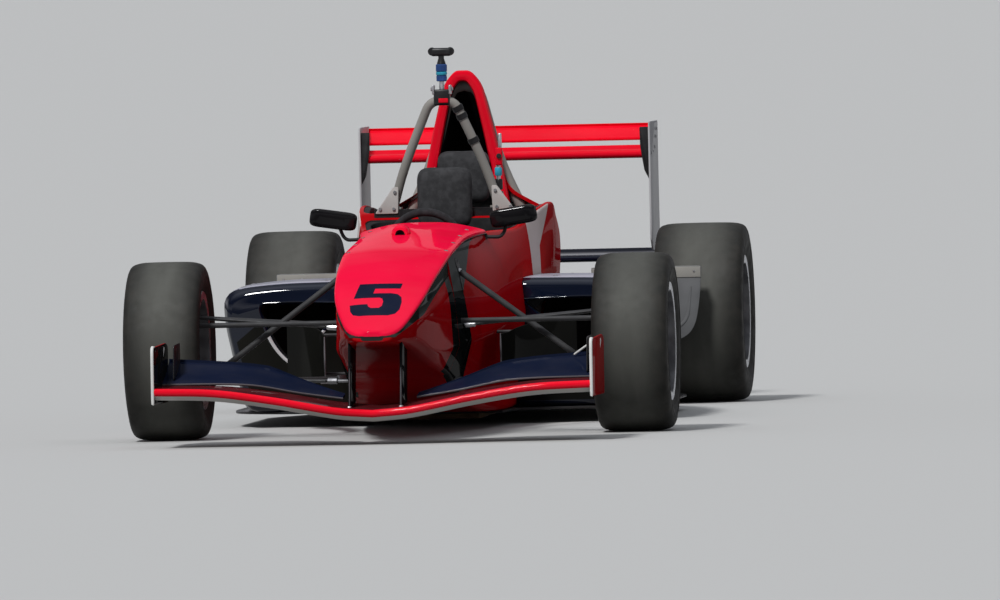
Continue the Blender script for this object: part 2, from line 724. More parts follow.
# %% Nose
def nose_section(station, shrink=1.0):
    top, waist, chine, bottom = body_lines(station)
    share = STRIP_DEPTH / (top[1] - bottom[1]) if shrink == 1.0 else 0.5
    strip = (top[0] + (waist[0] - top[0]) * share, top[1] - min(STRIP_DEPTH, (top[1] - waist[1]) * 0.9))
    points = [(0.0, top[1]), top, strip, waist, chine, bottom, (0.0, bottom[1])]
    middle = (top[1] + bottom[1]) / 2
    outline = softened(points, [0, 0.008, 0, 0.05, 0.010, 0.016, 0])
    return placed(station, [(x * shrink, middle + (z - middle) * shrink) for x, z in outline])


def make_nose():
    bm = new_shell()
    sections = [nose_section(station) for station in steps(NOSE_TIP, NOSE_SEAM - 0.001, 0.025)]
    tip = []
    for reach, shrink in ((0.0095, 0.55), (0.0085, 0.78), (0.005, 0.93)):
        tip.append([(x, y - reach, z) for x, y, z in nose_section(NOSE_TIP, shrink)])
    skin(bm, tip + sections)
    zone(bm, 0, 7, 2)
    paint_bands(bm)
    mirror_and_close(bm)
    finishes = [livery_red, matt_black, strip_paint, band_grey, band_black]
    return make_piece("nose_shell", bm, finishes, "red_paint", replaces=["nose_cone"])


make_nose()

# %% [markdown]
# The cover on top of the nose and of the footwell is a separate moulding. It is slightly crowned, more
# so towards the dash, stands out over the sides by a few millimetres, and shows a dark raw edge.

# %% Nose cover and hatch
COVER_RISE = 0.012
COVER_OVERHANG = 0.008
TIP_CORNER = 0.044
TIP_STEPS = [(1.0, 1.0), (0.994, 0.70), (0.975, 0.42), (0.93, 0.22), (0.85, 0.09), (0.70, 0.02),
             (0.50, 0.0), (0.25, 0.0)]
TIP_DROP = 0.014
HATCH_END = 0.700


def crown_at(station):
    return 0.007 + 0.017 * max(0.0, (station - NOSE_SEAM) / (HATCH_END - NOSE_SEAM))


def cover_section(station, ahead=0.0, drop=0.0):
    half, height = body_lines(max(NOSE_TIP, station - ahead))[0]
    edge = half + COVER_OVERHANG - TIP_CORNER + math.sqrt(max(0.0, TIP_CORNER**2 - ahead**2))
    high = height + COVER_RISE - drop
    low = height + COVER_RISE - 0.020 + drop * 0.4
    crown = crown_at(station) * (1.0 - drop / TIP_DROP)
    points = [
        (0.0, high + crown), (edge * 0.45, high + crown * 0.93), (edge - 0.014, high),
        (edge, high - (high - low) * 0.3), (edge, low + (high - low) * 0.15), (edge - 0.012, low), (0.0, low),
    ]
    return placed(station - ahead, softened(points, [0, 0.10, 0.016, 0.006, 0.003, 0.003, 0]))


def make_cover(name, first, last, replaces, tip=False):
    bm = new_shell()
    sections = [cover_section(station) for station in steps(first, last, 0.02)]
    if tip:
        ends = [cover_section(first, TIP_CORNER * ahead, TIP_DROP * drop) for ahead, drop in TIP_STEPS]
        sections = ends + sections
    skin(bm, sections)
    zone(bm, 19, 40, 1)
    mirror_and_close(bm)
    return make_piece(name, bm, [cover_red, carbon_cloth], "red_paint", replaces=replaces)


nose_cover = make_cover("nose_cover", -0.867, NOSE_SEAM - 0.001, [], tip=True)
hatch_cover = make_cover("hatch_cover", NOSE_SEAM + 0.001, HATCH_END, ["front_hatch"])

# %% [markdown]
# The race number is cut from navy film. Its outline is drawn flat, in the width and height of a
# leaning figure, filled, cut into small strips so that it can bend, and laid onto the cover by a ray
# from above.

# %% Race number
FIGURE_OUTLINE = [
    (0.19, 1.00), (1.00, 1.00), (0.96, 0.80), (0.48, 0.80), (0.445, 0.63), (0.78, 0.63), (0.91, 0.595),
    (0.98, 0.50), (0.985, 0.36), (0.945, 0.17), (0.86, 0.055), (0.72, 0.0), (0.18, 0.0), (0.065, 0.04),
    (0.010, 0.14), (0.0, 0.30), (0.335, 0.30), (0.35, 0.235), (0.40, 0.195), (0.55, 0.195),
    (0.61, 0.25), (0.633, 0.36), (0.618, 0.445), (0.57, 0.48), (0.075, 0.48),
]
FIGURE_STATIONS = (-0.818, -0.584)
FIGURE_LEFT = (-0.076, -0.096)
FIGURE_WIDTH = 0.160
ABOVE_ALL = 3.0


def surface_of(piece):
    bm = bmesh.new()
    bm.from_mesh(piece.data)
    tree = BVHTree.FromBMesh(bm)
    bm.free()
    return tree


def lay_on(bm, tree, gap):
    """Drops every vertex onto the surface below it and leaves a film's thickness."""
    for vert in bm.verts:
        spot, normal = tree.ray_cast(Vector((vert.co.x, vert.co.y, ABOVE_ALL)), Vector((0, 0, -1)))[:2]
        if spot:
            vert.co = spot + normal * gap


def make_figure():
    bm = new_shell()
    low, high = FIGURE_STATIONS
    points = []
    for across, up in FIGURE_OUTLINE:
        left = FIGURE_LEFT[0] + (FIGURE_LEFT[1] - FIGURE_LEFT[0]) * up
        points.append((left + across * FIGURE_WIDTH, at(low + (high - low) * up), 0.0))
    outline = chain(bm, points, closed=True)
    bmesh.ops.triangle_fill(bm, use_beauty=True, use_dissolve=False, edges=outline)
    for axis, (start, stop) in ((Vector((0, 1, 0)), FIGURE_STATIONS), (Vector((1, 0, 0)), (-0.12, 0.12))):
        for cut in steps(start, stop, 0.012):
            spot = Vector((cut, 0, 0)) if axis.x else Vector((0, at(cut), 0))
            cut_across(bm, spot, axis, 1e-5)
    lay_on(bm, surface_of(nose_cover), 0.0002)
    bmesh.ops.recalc_face_normals(bm, faces=bm.faces)
    bmesh.ops.solidify(bm, geom=bm.faces[:], thickness=0.0006)
    return make_piece("race_number", bm, [navy_film], "navy_gloss")


make_figure()

# %% [markdown]
# A small round inlet looks forward from the hatch. Its profile is a line that is spun once round: dark
# bore, rounded lip, and a long tail that sinks into the hatch.

# %% Hatch inlet
INLET = (-0.025, 0.240, 0.610)
INLET_PROFILE = [
    (0.000, 0.030), (0.0110, 0.030), (0.0115, 0.004), (0.0150, 0.000), (0.0220, 0.001), (0.0270, 0.008),
    (0.0285, 0.020), (0.0270, 0.060), (0.0170, 0.110), (0.000, 0.135),
]


def spun(profile, centre, axis, count=32, bore=None):
    """A profile of (radius, depth) pairs, spun round an axis that looks along X, Y or Z."""
    bm = new_shell()
    ahead = Vector([1.0 if letter == axis else 0.0 for letter in "XYZ"])
    out = Vector((0, 0, 1)) if axis != "Z" else Vector((1, 0, 0))
    centre = Vector(centre)
    line = chain(bm, [centre + ahead * depth + out * radius for radius, depth in profile])
    geometry = line + list({vert for edge in line for vert in edge.verts})
    bmesh.ops.spin(bm, geom=geometry, cent=centre, axis=ahead, angle=math.tau, steps=count, use_merge=True)
    bmesh.ops.remove_doubles(bm, verts=bm.verts, dist=1e-5)
    if bore:
        zone(bm, *bore)
    return bm


def make_inlet():
    x, station, z = INLET
    bm = spun(INLET_PROFILE, (x, at(station), z), "Y", bore=(0, 3, 1))
    tilt = Matrix.Rotation(math.radians(4.0), 3, "X")
    bmesh.ops.rotate(bm, verts=bm.verts, cent=(x, at(station), z), matrix=tilt)
    return make_piece("hatch_inlet", bm, [cover_red, matt_black], "red_paint")


make_inlet()

# %% [markdown]
# The tub carries everything. Its section is drawn as one line: from the middle of the floor round the
# outside, over the rim, and down the inside. Where there is no seat the inside shrinks to nothing, so
# the same line makes the closed footwell, the two cockpits and the bulkheads between them.

# %% Tub with two cockpits
COCKPITS = [(0.740, 1.400), (1.500, 2.050)]
COCKPIT_CORNER = 0.06
RIM_WIDTH = 0.034
WALL = 0.022


def opening_half(station, top_half):
    for first, last in COCKPITS:
        inside = min(station - first, last - station)
        if inside > 0:
            short = max(0.0, COCKPIT_CORNER - inside)
            return top_half - RIM_WIDTH - COCKPIT_CORNER + math.sqrt(COCKPIT_CORNER**2 - short**2)
    return 0.0


def tub_section(station):
    top, waist, chine, bottom = body_lines(station)
    half = opening_half(station, top[0])
    outside = [(0.0, bottom[1]), bottom, chine, waist, top]
    inside = [(0.0, top[1])] * 8
    if half:
        narrow = [(min(x - WALL, half + 0.05), z) for x, z in (waist, chine, bottom)]
        floor = bottom[1] + WALL
        rim = half + (top[0] - half) * 0.55
        low = top[1] - 0.006
        inside = [(rim, top[1]), (rim - 0.002, low), (half, low), (half, low - WALL), narrow[0], narrow[1],
                  (narrow[2][0], floor), (0.0, floor)]
    radii = [0, 0.02, 0.012, 0.10, 0.012, 0.002, 0.001, 0.005, 0.007, 0.03, 0.02, 0.02, 0]
    return placed(station, softened(outside + inside, radii))


def tub_stations():
    stations = set(steps(NOSE_SEAM + 0.001, 2.090, 0.03))
    for first, last in COCKPITS:
        for inset in (-0.0005, 0.0005, 0.003, 0.008, 0.016, 0.028, 0.044, 0.06):
            stations.update((first + inset, last - inset))
    return sorted(stations)


def make_tub():
    bm = new_shell()
    skin(bm, [tub_section(station) for station in tub_stations()])
    zone(bm, 30, 80, 1)
    paint_bands(bm)
    mirror_and_close(bm)
    finishes = [livery_red, matt_black, strip_paint, band_grey, band_black, ear_grey]
    return make_piece("tub_shell", bm, finishes, "red_paint", replaces=["monocoque"])


make_tub()

# %% [markdown]
# Tubes, cords of trim and arms are one section carried along a path. The section may be wider than it
# is high, because a suspension arm is drawn out into a streamlined shape, and it may thin towards its
# ends.

# %% Swept bars
def swept(points, wide, high=None, count=12, ends=(1.0, 1.0), level=(0.0, 0.0, 1.0)):
    """A closed bar along a path. Ends give how much of the section is left at each end."""
    bm = new_shell()
    points = [Vector(point) for point in points]
    high = wide if high is None else high
    sections = []
    for index, point in enumerate(points):
        way = (points[min(index + 1, len(points) - 1)] - points[max(index - 1, 0)]).normalized()
        side = way.cross(Vector(level)).normalized()
        up = side.cross(way)
        size = ends[0] if index == 0 else ends[1] if index == len(points) - 1 else 1.0
        turns = [math.tau * step / count for step in range(count)]
        sections.append([point + size * (side * wide * math.cos(a) + up * high * math.sin(a)) for a in turns])
    skin(bm, sections, closed=True)
    close_ends(bm)
    return bm


def straight(start, end, pitch=0.05, inset=0.003):
    """Points along a straight run, with one close to each end so that the ends can be rounded."""
    start, end = Vector(start), Vector(end)
    way = (end - start).normalized()
    inner = [start + way * inset, end - way * inset]
    count = max(1, round((inner[1] - inner[0]).length / pitch))
    return [start] + [inner[0].lerp(inner[1], step / count) for step in range(count + 1)] + [end]


print(f"a straight run of 0.3 m has {len(straight((0, 0, 0), (0.3, 0, 0)))} points")

# %% [markdown]
# Small housings start as a cube with its edges bevelled, as a milled block has. Sheet parts are a flat
# outline that is pushed to its thickness, with a fine bevel round both rims.

# %% Blocks and sheets
def block(centre, size, edge=0.003, lean=0.0, axis="Y", segments=3):
    bm = bmesh.new()
    bmesh.ops.create_cube(bm, size=1.0)
    bmesh.ops.scale(bm, vec=size, verts=bm.verts)
    if edge:
        bmesh.ops.bevel(bm, geom=bm.edges[:], offset=edge, affect="EDGES", segments=segments, profile=0.5,
                        material=-1)
    bmesh.ops.rotate(bm, verts=bm.verts, cent=(0, 0, 0), matrix=Matrix.Rotation(math.radians(lean), 3, axis))
    bmesh.ops.translate(bm, vec=centre, verts=bm.verts)
    return bm


def slab(corners, along, edge=0.001):
    """A flat outline of points in space, pushed along a direction and with its rims softened."""
    bm = bmesh.new()
    verts = [bm.verts.new(point) for point in corners]
    rim = [bm.edges.new(pair) for pair in zip(verts, verts[1:] + verts[:1])]
    face = bmesh.ops.contextual_create(bm, geom=rim)["faces"]
    pushed = bmesh.ops.extrude_face_region(bm, geom=face)["geom"]
    top = [item for item in pushed if isinstance(item, bmesh.types.BMVert)]
    bmesh.ops.translate(bm, verts=top, vec=along)
    direction = Vector(along).normalized()
    rims = [e for e in bm.edges if abs((e.verts[0].co - e.verts[1].co).normalized().dot(direction)) < 0.5]
    if edge:
        bmesh.ops.bevel(bm, geom=rims, offset=edge, affect="EDGES", segments=2, profile=0.5, material=-1)
    return bm


def cross_slab(outline, radius, first, last, edge=0.001, sign=1):
    """A plate across the car, from (x, height) corners, between two stations."""
    points = softened(outline, [radius] * len(outline), closed=True, arc=4)
    return slab([(sign * x, at(first), z) for x, z in points], (0, last - first, 0), edge)


print("blocks and sheets have softened edges")

# %% [markdown]
# Bolts, nuts, posts and bushes are turned on a lathe, so each is a profile that is spun once round.
# Several shells are then joined into one piece. Before that a set can be put in its place, mirrored for
# the right side of the car, or doubled so that one drawing makes a pair.

# %% Turned parts and sets of shells
def turned(profile, spot, axis, count=24):
    """A solid turned part. Its profile of (radius, depth) pairs is closed to the axis at both ends."""
    return spun([(0.0, profile[0][1]), *profile, (0.0, profile[-1][1])], spot, axis, count)


def hex_head(centre, axis, size=0.008, length=0.006):
    """A bolt head: a six sided bar with a bevelled rim."""
    return turned([(size * 0.92, 0.0), (size, length * 0.2), (size, length)], centre, axis, 6)


def moved(shells, spot, sign=1, turn=None):
    """Shells are turned about the origin, mirrored for the right side, and put in their place."""
    for shell, _ in shells:
        if turn is not None:
            bmesh.ops.rotate(shell, verts=shell.verts, cent=(0, 0, 0), matrix=turn)
        bmesh.ops.scale(shell, vec=(sign, 1, 1), verts=shell.verts)
        bmesh.ops.translate(shell, vec=spot, verts=shell.verts)
    return shells


def doubled(shells):
    """Every shell gets its mirror image on the other side of the car."""
    for shell, _ in shells:
        both_halves(shell)
    return shells


def joined(name, shells, finishes, slot, **options):
    """Several meshes become one piece. Each brings the number of its finish, and 0 keeps its own."""
    whole = bmesh.new()
    for shell, index in shells:
        if index:
            for face in shell.faces:
                face.material_index = index
        mesh = bpy.data.meshes.new("part")
        shell.to_mesh(mesh)
        shell.free()
        whole.from_mesh(mesh)
        bpy.data.meshes.remove(mesh)
    return make_piece(name, whole, finishes, slot, **options)


print("shells can be turned, moved, doubled and joined")

# %% [markdown]
# The front wing is built up from foils. The main plane droops to the middle, where the nose hangs over
# it. A red bead runs along its leading edge, its top is a dark red and its belly is bare grey. Two navy
# flaps stand behind it, each with a grey line along its lower front edge.

# %% Front wing
PLANE_ROWS = [(0.0, 0.094, 0.112), (0.110, 0.103, 0.122), (0.300, 0.138, 0.156), (0.480, 0.164, 0.178),
              (0.660, 0.171, 0.184)]
FLAP_ROWS = [(0.112, 0.137, 0.168), (0.240, 0.156, 0.198), (0.400, 0.184, 0.232), (0.660, 0.190, 0.252)]
PLANE_STATIONS = (-0.943, -0.700)
FLAP_STATIONS = (-0.712, -0.520)
WING_HALF = 0.660


def arc(centre, radius, first, last, count):
    angles = [math.radians(first + (last - first) * step / count) for step in range(count + 1)]
    return [(centre[0] + radius * math.cos(a), centre[1] + radius * math.sin(a)) for a in angles]


def plane_section(x):
    front_z, rear_z = between(PLANE_ROWS, x)
    front, rear = PLANE_STATIONS
    nose = arc((front, front_z), 0.012, 62, 262, 12)
    belly = [(front + 0.022, front_z - 0.0215), (front + 0.045, front_z - 0.0245),
             (front + 0.075, front_z - 0.0240), (front + 0.115, front_z - 0.0180),
             (front + 0.165, front_z - 0.0080)]
    tail = arc((rear, rear_z), 0.003, -80, 80, 4)
    top = [(front + 0.180, rear_z - 0.001), (front + 0.110, front_z + 0.013),
           (front + 0.050, front_z + 0.0125), (front + 0.016, front_z + 0.0085),
           (front + 0.009, front_z + 0.0085)]
    return [(x, at(y), z) for y, z in nose + belly + tail + top]


def flap_section(x):
    front_z, rear_z = between(FLAP_ROWS, x)
    front, rear = FLAP_STATIONS
    share = min(1.0, 0.30 + (x - FLAP_ROWS[0][0]) / 0.34)
    chord, rise = (rear - front) * share, (rear_z - front_z) * share
    nose = arc((front, front_z), 0.005, 100, 280, 6)
    under = [(front + chord * 0.31, front_z + rise * 0.22 - 0.005),
             (front + chord * 0.68, front_z + rise * 0.58 - 0.004)]
    tail = [(front + chord, front_z + rise - 0.0025), (front + chord + 0.002, front_z + rise + 0.010 * share),
            (front + chord - 0.001, front_z + rise + 0.010 * share),
            (front + chord - 0.002, front_z + rise + 0.002)]
    over = [(front + chord * 0.68, front_z + rise * 0.58 + 0.004),
            (front + chord * 0.31, front_z + rise * 0.22 + 0.005)]
    return [(x, at(y), z) for y, z in nose + under + tail + over]


def make_front_wing():
    plane = new_shell()
    skin(plane, [plane_section(x) for x in steps(0.0, WING_HALF, 0.03)], closed=True)
    zone(plane, 0, 11, 1)
    zone(plane, 11, 18, 2)
    mirror_and_close(plane)
    make_piece("front_main_plane", plane, [wing_shadow, bead_red, belly_grey], "red_paint",
               replaces=["front_wing_main_plane"], shade=50)
    flap = new_shell()
    skin(flap, [flap_section(x) for x in steps(FLAP_ROWS[0][0], WING_HALF, 0.03)], closed=True)
    zone(flap, 2, 5, 1)
    mirror_and_close(flap)
    make_piece("front_flap_pair", flap, [navy_film, flap_edge], "navy_gloss", replaces=["front_wing_flaps"],
               shade=50)


make_front_wing()

# %% [markdown]
# A flat plate with rounded corners closes each end of the wing. It is cut from sheet, and a white
# rubbing strip is bonded round its front edge. A smaller fence stands inboard at the end of the flap,
# with a white tab near it, and on the left a white stay. Plates of this kind are all made by one
# helper: an outline, a thickness and a softened edge.

# %% Wing end plates and pylons
def plate(outline, radius, x_from, x_to, edge=0.0012):
    """A flat plate in the plane of the car's side, from (station, height) corners."""
    points = softened(outline, [radius] * len(outline), closed=True)
    return slab([(x_from, at(y), z) for y, z in points], (x_to - x_from, 0, 0), edge)


END_PLATE = [(-0.953, 0.134), (-0.560, 0.132), (-0.545, 0.300), (-0.590, 0.312), (-0.944, 0.306)]
FENCE = [(-0.700, 0.200), (-0.520, 0.238), (-0.520, 0.310), (-0.676, 0.306)]
PYLON = [(-0.862, 0.112), (-0.702, 0.122), (-0.662, 0.330), (-0.820, 0.345)]
PYLON_X = 0.078
PLATE_EDGE = [(-0.880, 0.3065), (-0.930, 0.3065), (-0.9415, 0.3035), (-0.9455, 0.297), (-0.9475, 0.28),
              (-0.953, 0.15), (-0.9520, 0.138), (-0.935, 0.1345)]
PLATE_TAB = [(-0.672, 0.268), (-0.662, 0.296), (-0.645, 0.3035)]
PYLON_EDGE = [(-0.8625, 0.114), (-0.848, 0.190), (-0.840, 0.230)]
PLATE_MIDDLE = WING_HALF + 0.0035


def line_beside(x, places):
    """A line in the plane of the car's side, from (station, height) places."""
    return [(x, at(y), z) for y, z in places]


def make_end_plate(side, sign):
    outer = plate(END_PLATE, 0.018, sign * WING_HALF, sign * (WING_HALF + 0.007))
    bmesh.ops.recalc_face_normals(outer, faces=outer.faces)
    for face in outer.faces:
        if face.normal.x * sign < -0.9:
            face.material_index = 2
    edge = swept(line_beside(sign * PLATE_MIDDLE, PLATE_EDGE), 0.0048, ends=(0.5, 0.5), level=(1, 0, 0))
    joined(f"front_end_plate_{side}", [(outer, 0), (edge, 1)], [plate_red, white_paint, black_lacquer],
           "end_plate_red", replaces=["front_wing_end_plates"])
    tab = swept(line_beside(sign * PLATE_MIDDLE, PLATE_TAB), 0.0062, ends=(0.5, 0.5))
    shells = [(plate(FENCE, 0.008, sign * 0.626, sign * 0.630), 0), (tab, 1)]
    if side == "left":
        stay = straight((0.575, at(-0.535), 0.250), (0.655, at(-0.560), 0.304))
        shells.append((swept(stay, 0.0036, ends=(0.7, 0.4)), 1))
    joined(f"flap_fence_{side}", shells, [carbon_cloth, white_paint], "navy_gloss")


def make_pylon(side, sign):
    web = plate(PYLON, 0.006, sign * (PYLON_X - 0.004), sign * (PYLON_X + 0.004), edge=0.003)
    edge = swept(line_beside(sign * PYLON_X, PYLON_EDGE), 0.0016, ends=(0.5, 0.5), level=(1, 0, 0))
    foot = block((sign * PYLON_X, at(-0.858), 0.112), (0.012, 0.024, 0.008))
    joined(f"nose_pylon_{side}", [(web, 0), (edge, 1), (foot, 2)], [black_lacquer, flap_edge, machined_alloy],
           "navy_gloss", replaces=["nose_pylons"])


for side, sign in SIDES.items():
    make_end_plate(side, sign)
for side, sign in SIDES.items():
    make_pylon(side, sign)

# %% [markdown]
# A tyre is a spun profile: a nearly flat tread, a round shoulder, a wall that bulges past the rim, and
# a bead that sits against the flange. Two shallow ridges run round the wall where the mould parted.

# %% Tyres
BEAD_RADIUS = 0.165
BEAD_INSET = 0.017
FLANGE_TOP = 0.184
TYRE_STEPS = 112


def tyre_profile(half, radius):
    bead = half - BEAD_INSET
    corners = [
        (0.0, radius), (half * 0.45, radius - 0.0004), (half - 0.034, radius - 0.002),
        (half - 0.004, radius - 0.012),
        (half, radius - 0.052), (half - 0.0015, 0.232), (half + 0.0004, 0.229), (half - 0.0015, 0.226),
        (half - 0.003, 0.212), (half - 0.009, 0.198), (bead + 0.003, FLANGE_TOP + 0.003),
        (bead, FLANGE_TOP - 0.002),
        (bead, BEAD_RADIUS + 0.001), (bead - 0.018, BEAD_RADIUS + 0.001), (bead - 0.03, BEAD_RADIUS + 0.012),
        (0.0, BEAD_RADIUS + 0.012),
    ]
    radii = [0, 0.03, 0.024, 0.022, 0.03, 0.002, 0.001, 0.002, 0.01, 0.01, 0.004, 0.002,
             0.001, 0.003, 0.003, 0]
    side = [(point.y, point.x) for point in softened(corners, radii, arc=4)]
    return side + [(r, -x) for r, x in reversed(side[1:-1])]


def wheel_centre(end, side):
    low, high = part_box(f"tyre_{end}_{side}")
    return (low + high) / 2, (high.x - low.x) / 2, (high.z - low.z) / 2


def make_tyre(end, side):
    centre, half, radius = wheel_centre(end, side)
    profile = tyre_profile(half, radius)
    bm = spun(profile + profile[:1], centre, "X", TYRE_STEPS)
    make_piece(f"slick_{end}_{side}", bm, [rubber[end, side]], "tyre_rubber", body=f"wheel_{end}_{side}",
               replaces=[f"tyre_{end}_{side}"])


for wheel in WHEELS:
    make_tyre(*wheel)

# %% [markdown]
# The rim is a spun barrel with a stepped lip, and its face is a spider of eight spokes that are wider
# at the rim and at the middle than between. One spoke is drawn, thinned at the waist and turned to
# its eight places. A row of bolts holds the spider to the barrel.

# %% Rims
SPOKES = 8
SPOKE_FACE = 0.060
SPOKE_BACK = 0.044


def barrel_profile(half):
    bead = half - BEAD_INSET
    edge = bead + 0.006
    side = [
        (edge, 0.157), (edge + 0.0005, 0.1805), (edge - 0.002, 0.182), (bead + 0.001, 0.182),
        (bead, 0.180), (bead, 0.1655),
        (bead - 0.020, 0.1640), (bead - 0.026, 0.1600), (0.0, 0.1600),
    ]
    inner = [(0.0, 0.1545), (SPOKE_BACK, 0.1545), (bead - 0.030, 0.1550), (bead - 0.010, 0.1570),
             (edge - 0.003, 0.1565)]
    outside = side + [(-x, r) for x, r in reversed(side[:-1])]
    inside = [(-x, r) for x, r in reversed(inner[1:])] + inner
    return [(r, x) for x, r in outside + inside]


def spoke(turn):
    outline = [(0.030, 0.026), (0.052, 0.0155), (0.100, 0.0105), (0.135, 0.0135), (0.1580, 0.024)]
    loop = [(r, w) for r, w in outline] + [(r, -w) for r, w in reversed(outline)]
    points = softened(loop, [0, 0.02, 0.03, 0.02, 0, 0, 0.02, 0.03, 0.02, 0], closed=True, arc=4)
    bm = slab([(SPOKE_BACK, point.y, point.x) for point in points], (SPOKE_FACE - SPOKE_BACK, 0, 0), 0.0022)
    for vert in bm.verts:
        if vert.co.x > (SPOKE_BACK + SPOKE_FACE) / 2:
            vert.co.x -= 0.006 * math.sin(math.pi * (vert.co.z - 0.03) / 0.128)
    bmesh.ops.rotate(bm, verts=bm.verts, cent=(0, 0, 0), matrix=Matrix.Rotation(turn, 3, "X"))
    return bm


MIDDLE_RING = [(0.0343, SPOKE_BACK), (0.066, SPOKE_BACK), (0.066, SPOKE_FACE - 0.004), (0.060, SPOKE_FACE),
               (0.0343, SPOKE_FACE), (0.0343, SPOKE_BACK)]
RIM_BOLT = [(0.004, 0.0), (0.0042, 0.004), (0.003, 0.006)]
RIM_BOLT_RADIUS = 0.1515
BARREL_INSIDE = 0.159


def make_rim(end, side):
    centre, half = wheel_centre(end, side)[:2]
    profile = barrel_profile(half)
    barrel = spun(profile + profile[:1], (0, 0, 0), "X", 96)
    for face in barrel.faces:
        if face.calc_center_median().yz.length < BARREL_INSIDE:
            face.material_index = 1
    shells = [(barrel, 0), (spun(MIDDLE_RING, (0, 0, 0), "X", 64), 0)]
    shells += [(spoke(math.tau * number / SPOKES), 0) for number in range(SPOKES)]
    for number in range(SPOKES * 2):
        turn = math.tau * (number + 0.5) / (SPOKES * 2)
        spot = (SPOKE_FACE - 0.004, RIM_BOLT_RADIUS * math.sin(turn), RIM_BOLT_RADIUS * math.cos(turn))
        shells.append((turned(RIM_BOLT, spot, "X", 8), 1))
    shells.append((turned([(0.004, 0.0), (0.004, 0.022)], (SPOKE_FACE, 0.0, 0.146), "X", 12), 1))
    joined(f"wheel_rim_{end}_{side}", moved(shells, centre, SIDES[side]), [rim_alloy, dark_steel],
           "rim_silver", body=f"wheel_{end}_{side}", replaces=[f"rim_{end}_{side}"])


for wheel in WHEELS:
    make_rim(*wheel)

# %% [markdown]
# The hub turns with the wheel. It is spun too: the spindle in its bearing, the flange that drives the
# rim, the bell and the grooved brake disc. One large nut with flats and a locking pin holds the wheel.

# %% Hubs and brake discs
SPINDLE = [(0.0, -0.085), (0.028, -0.085), (0.0299, -0.083), (0.0299, 0.030), (0.068, 0.032), (0.070, 0.034),
           (0.070, 0.0435), (0.0338, 0.0439), (0.0338, 0.0600), (0.0, 0.0600)]
BELL = [(0.062, -0.006), (0.070, -0.006), (0.070, 0.032), (0.062, 0.032), (0.062, -0.006)]
DISC = [(0.070, -0.006), (0.138, -0.006), (0.139, -0.005), (0.139, -0.001), (0.132, 0.0), (0.132, 0.006),
        (0.139, 0.007), (0.139, 0.011), (0.138, 0.012), (0.070, 0.012), (0.070, -0.006)]
NUT = [(0.0, 0.060), (0.040, 0.060), (0.041, 0.063), (0.041, 0.067), (0.036, 0.070), (0.0, 0.070)]
NUT_FLATS = [(0.0, 0.070), (0.0340, 0.070), (0.0350, 0.073), (0.0350, 0.083), (0.0320, 0.086), (0.019, 0.086),
             (0.017, 0.080), (0.0, 0.080)]
GROOVES = 12
GROOVE_X = 0.0122
GROOVE_ENDS = (0.078, 0.132)
GROOVE_LEAN = 0.25


def groove(turn):
    inner, outer = GROOVE_ENDS
    start = Vector((GROOVE_X, inner * math.sin(turn), inner * math.cos(turn)))
    stop = Vector((GROOVE_X, outer * math.sin(turn + GROOVE_LEAN), outer * math.cos(turn + GROOVE_LEAN)))
    return swept(straight(start, stop), 0.0016, 0.0008, 6, level=(1, 0, 0))


def spun_set(rows):
    """One shell round the X axis for each row of (profile, count, finish)."""
    return [(spun(profile, (0, 0, 0), "X", count), index) for profile, count, index in rows]


def make_hub(end, side):
    centre = wheel_centre(end, side)[0]
    shells = spun_set([(SPINDLE, 48, 0), (BELL, 48, 0), (DISC, 72, 1)])
    shells += [(groove(math.tau * number / GROOVES), 2) for number in range(GROOVES)]
    shells += spun_set([(NUT, 48, 0), (NUT_FLATS, 6, 3)])
    joined(f"wheel_hub_{end}_{side}", moved(shells, centre, SIDES[side]),
           [dark_steel, steel, matt_black, nut_anodised], "hub_steel", body=f"wheel_{end}_{side}",
           replaces=[f"hub_{end}_{side}"])


for wheel in WHEELS:
    make_hub(*wheel)

# %% [markdown]
# A brake caliper grips each disc from behind the axle. It is cast in two halves and bolted across.

# %% Brake calipers
CALIPER_RADIUS = 0.112
CALIPER_HALVES = [(-0.024, -0.0095), (0.0155, 0.026)]
CALIPER_BOLTS = (-32, -11, 11, 32)
CALIPER_BOLT_RADIUS = 0.1435


def round_place(radius, degrees):
    return (radius * math.cos(math.radians(degrees)), radius * math.sin(math.radians(degrees)))


def make_caliper(end, side):
    centre = wheel_centre(end, side)[0]
    shells = []
    for low, high in CALIPER_HALVES:
        path = [((low + high) / 2, *round_place(CALIPER_RADIUS, degrees)) for degrees in range(-34, 35, 4)]
        shells.append((swept(path, (high - low) / 2, 0.026, 14, ends=(0.7, 0.7), level=(1, 0, 0)), 0))
    for degrees in CALIPER_BOLTS:
        y, z = round_place(CALIPER_BOLT_RADIUS, degrees)
        run = straight((CALIPER_HALVES[0][0], y, z), (CALIPER_HALVES[1][1], y, z), inset=0.002)
        shells.append((swept(run, 0.006, 0.006, 10, ends=(0.8, 0.8)), 1))
    body = f"knuckle_{side}" if end == "front" else "chassis"
    joined(f"brake_caliper_{end}_{side}", moved(shells, centre, SIDES[side]), [black_lacquer, steel],
           "upright_alloy", body=body)


for wheel in WHEELS:
    make_caliper(*wheel)

# %% [markdown]
# Each wishbone is two streamlined steel legs that meet in a round ball joint housing at the wheel. At
# the body each leg ends in a bright threaded rod end, which is how the real car sets its camber. The
# pushrod runs from the foot of the upright to a slot in the side of the tub.

# %% Suspension arms
BALL_PIN_X = {"front": 0.657, "rear": 0.598}
WISHBONES = {
    "front": [(0.376, 0.150, 0.332, (-0.040, 0.260)), (0.180, 0.150, 0.172, (-0.060, 0.280))],
    "rear": [(0.381, 0.060, 0.335, (2.990, 3.280)), (0.195, 0.060, 0.190, (2.920, 3.280))],
}
ROD_END_SHARES = {"front": 0.16, "rear": 0.26}


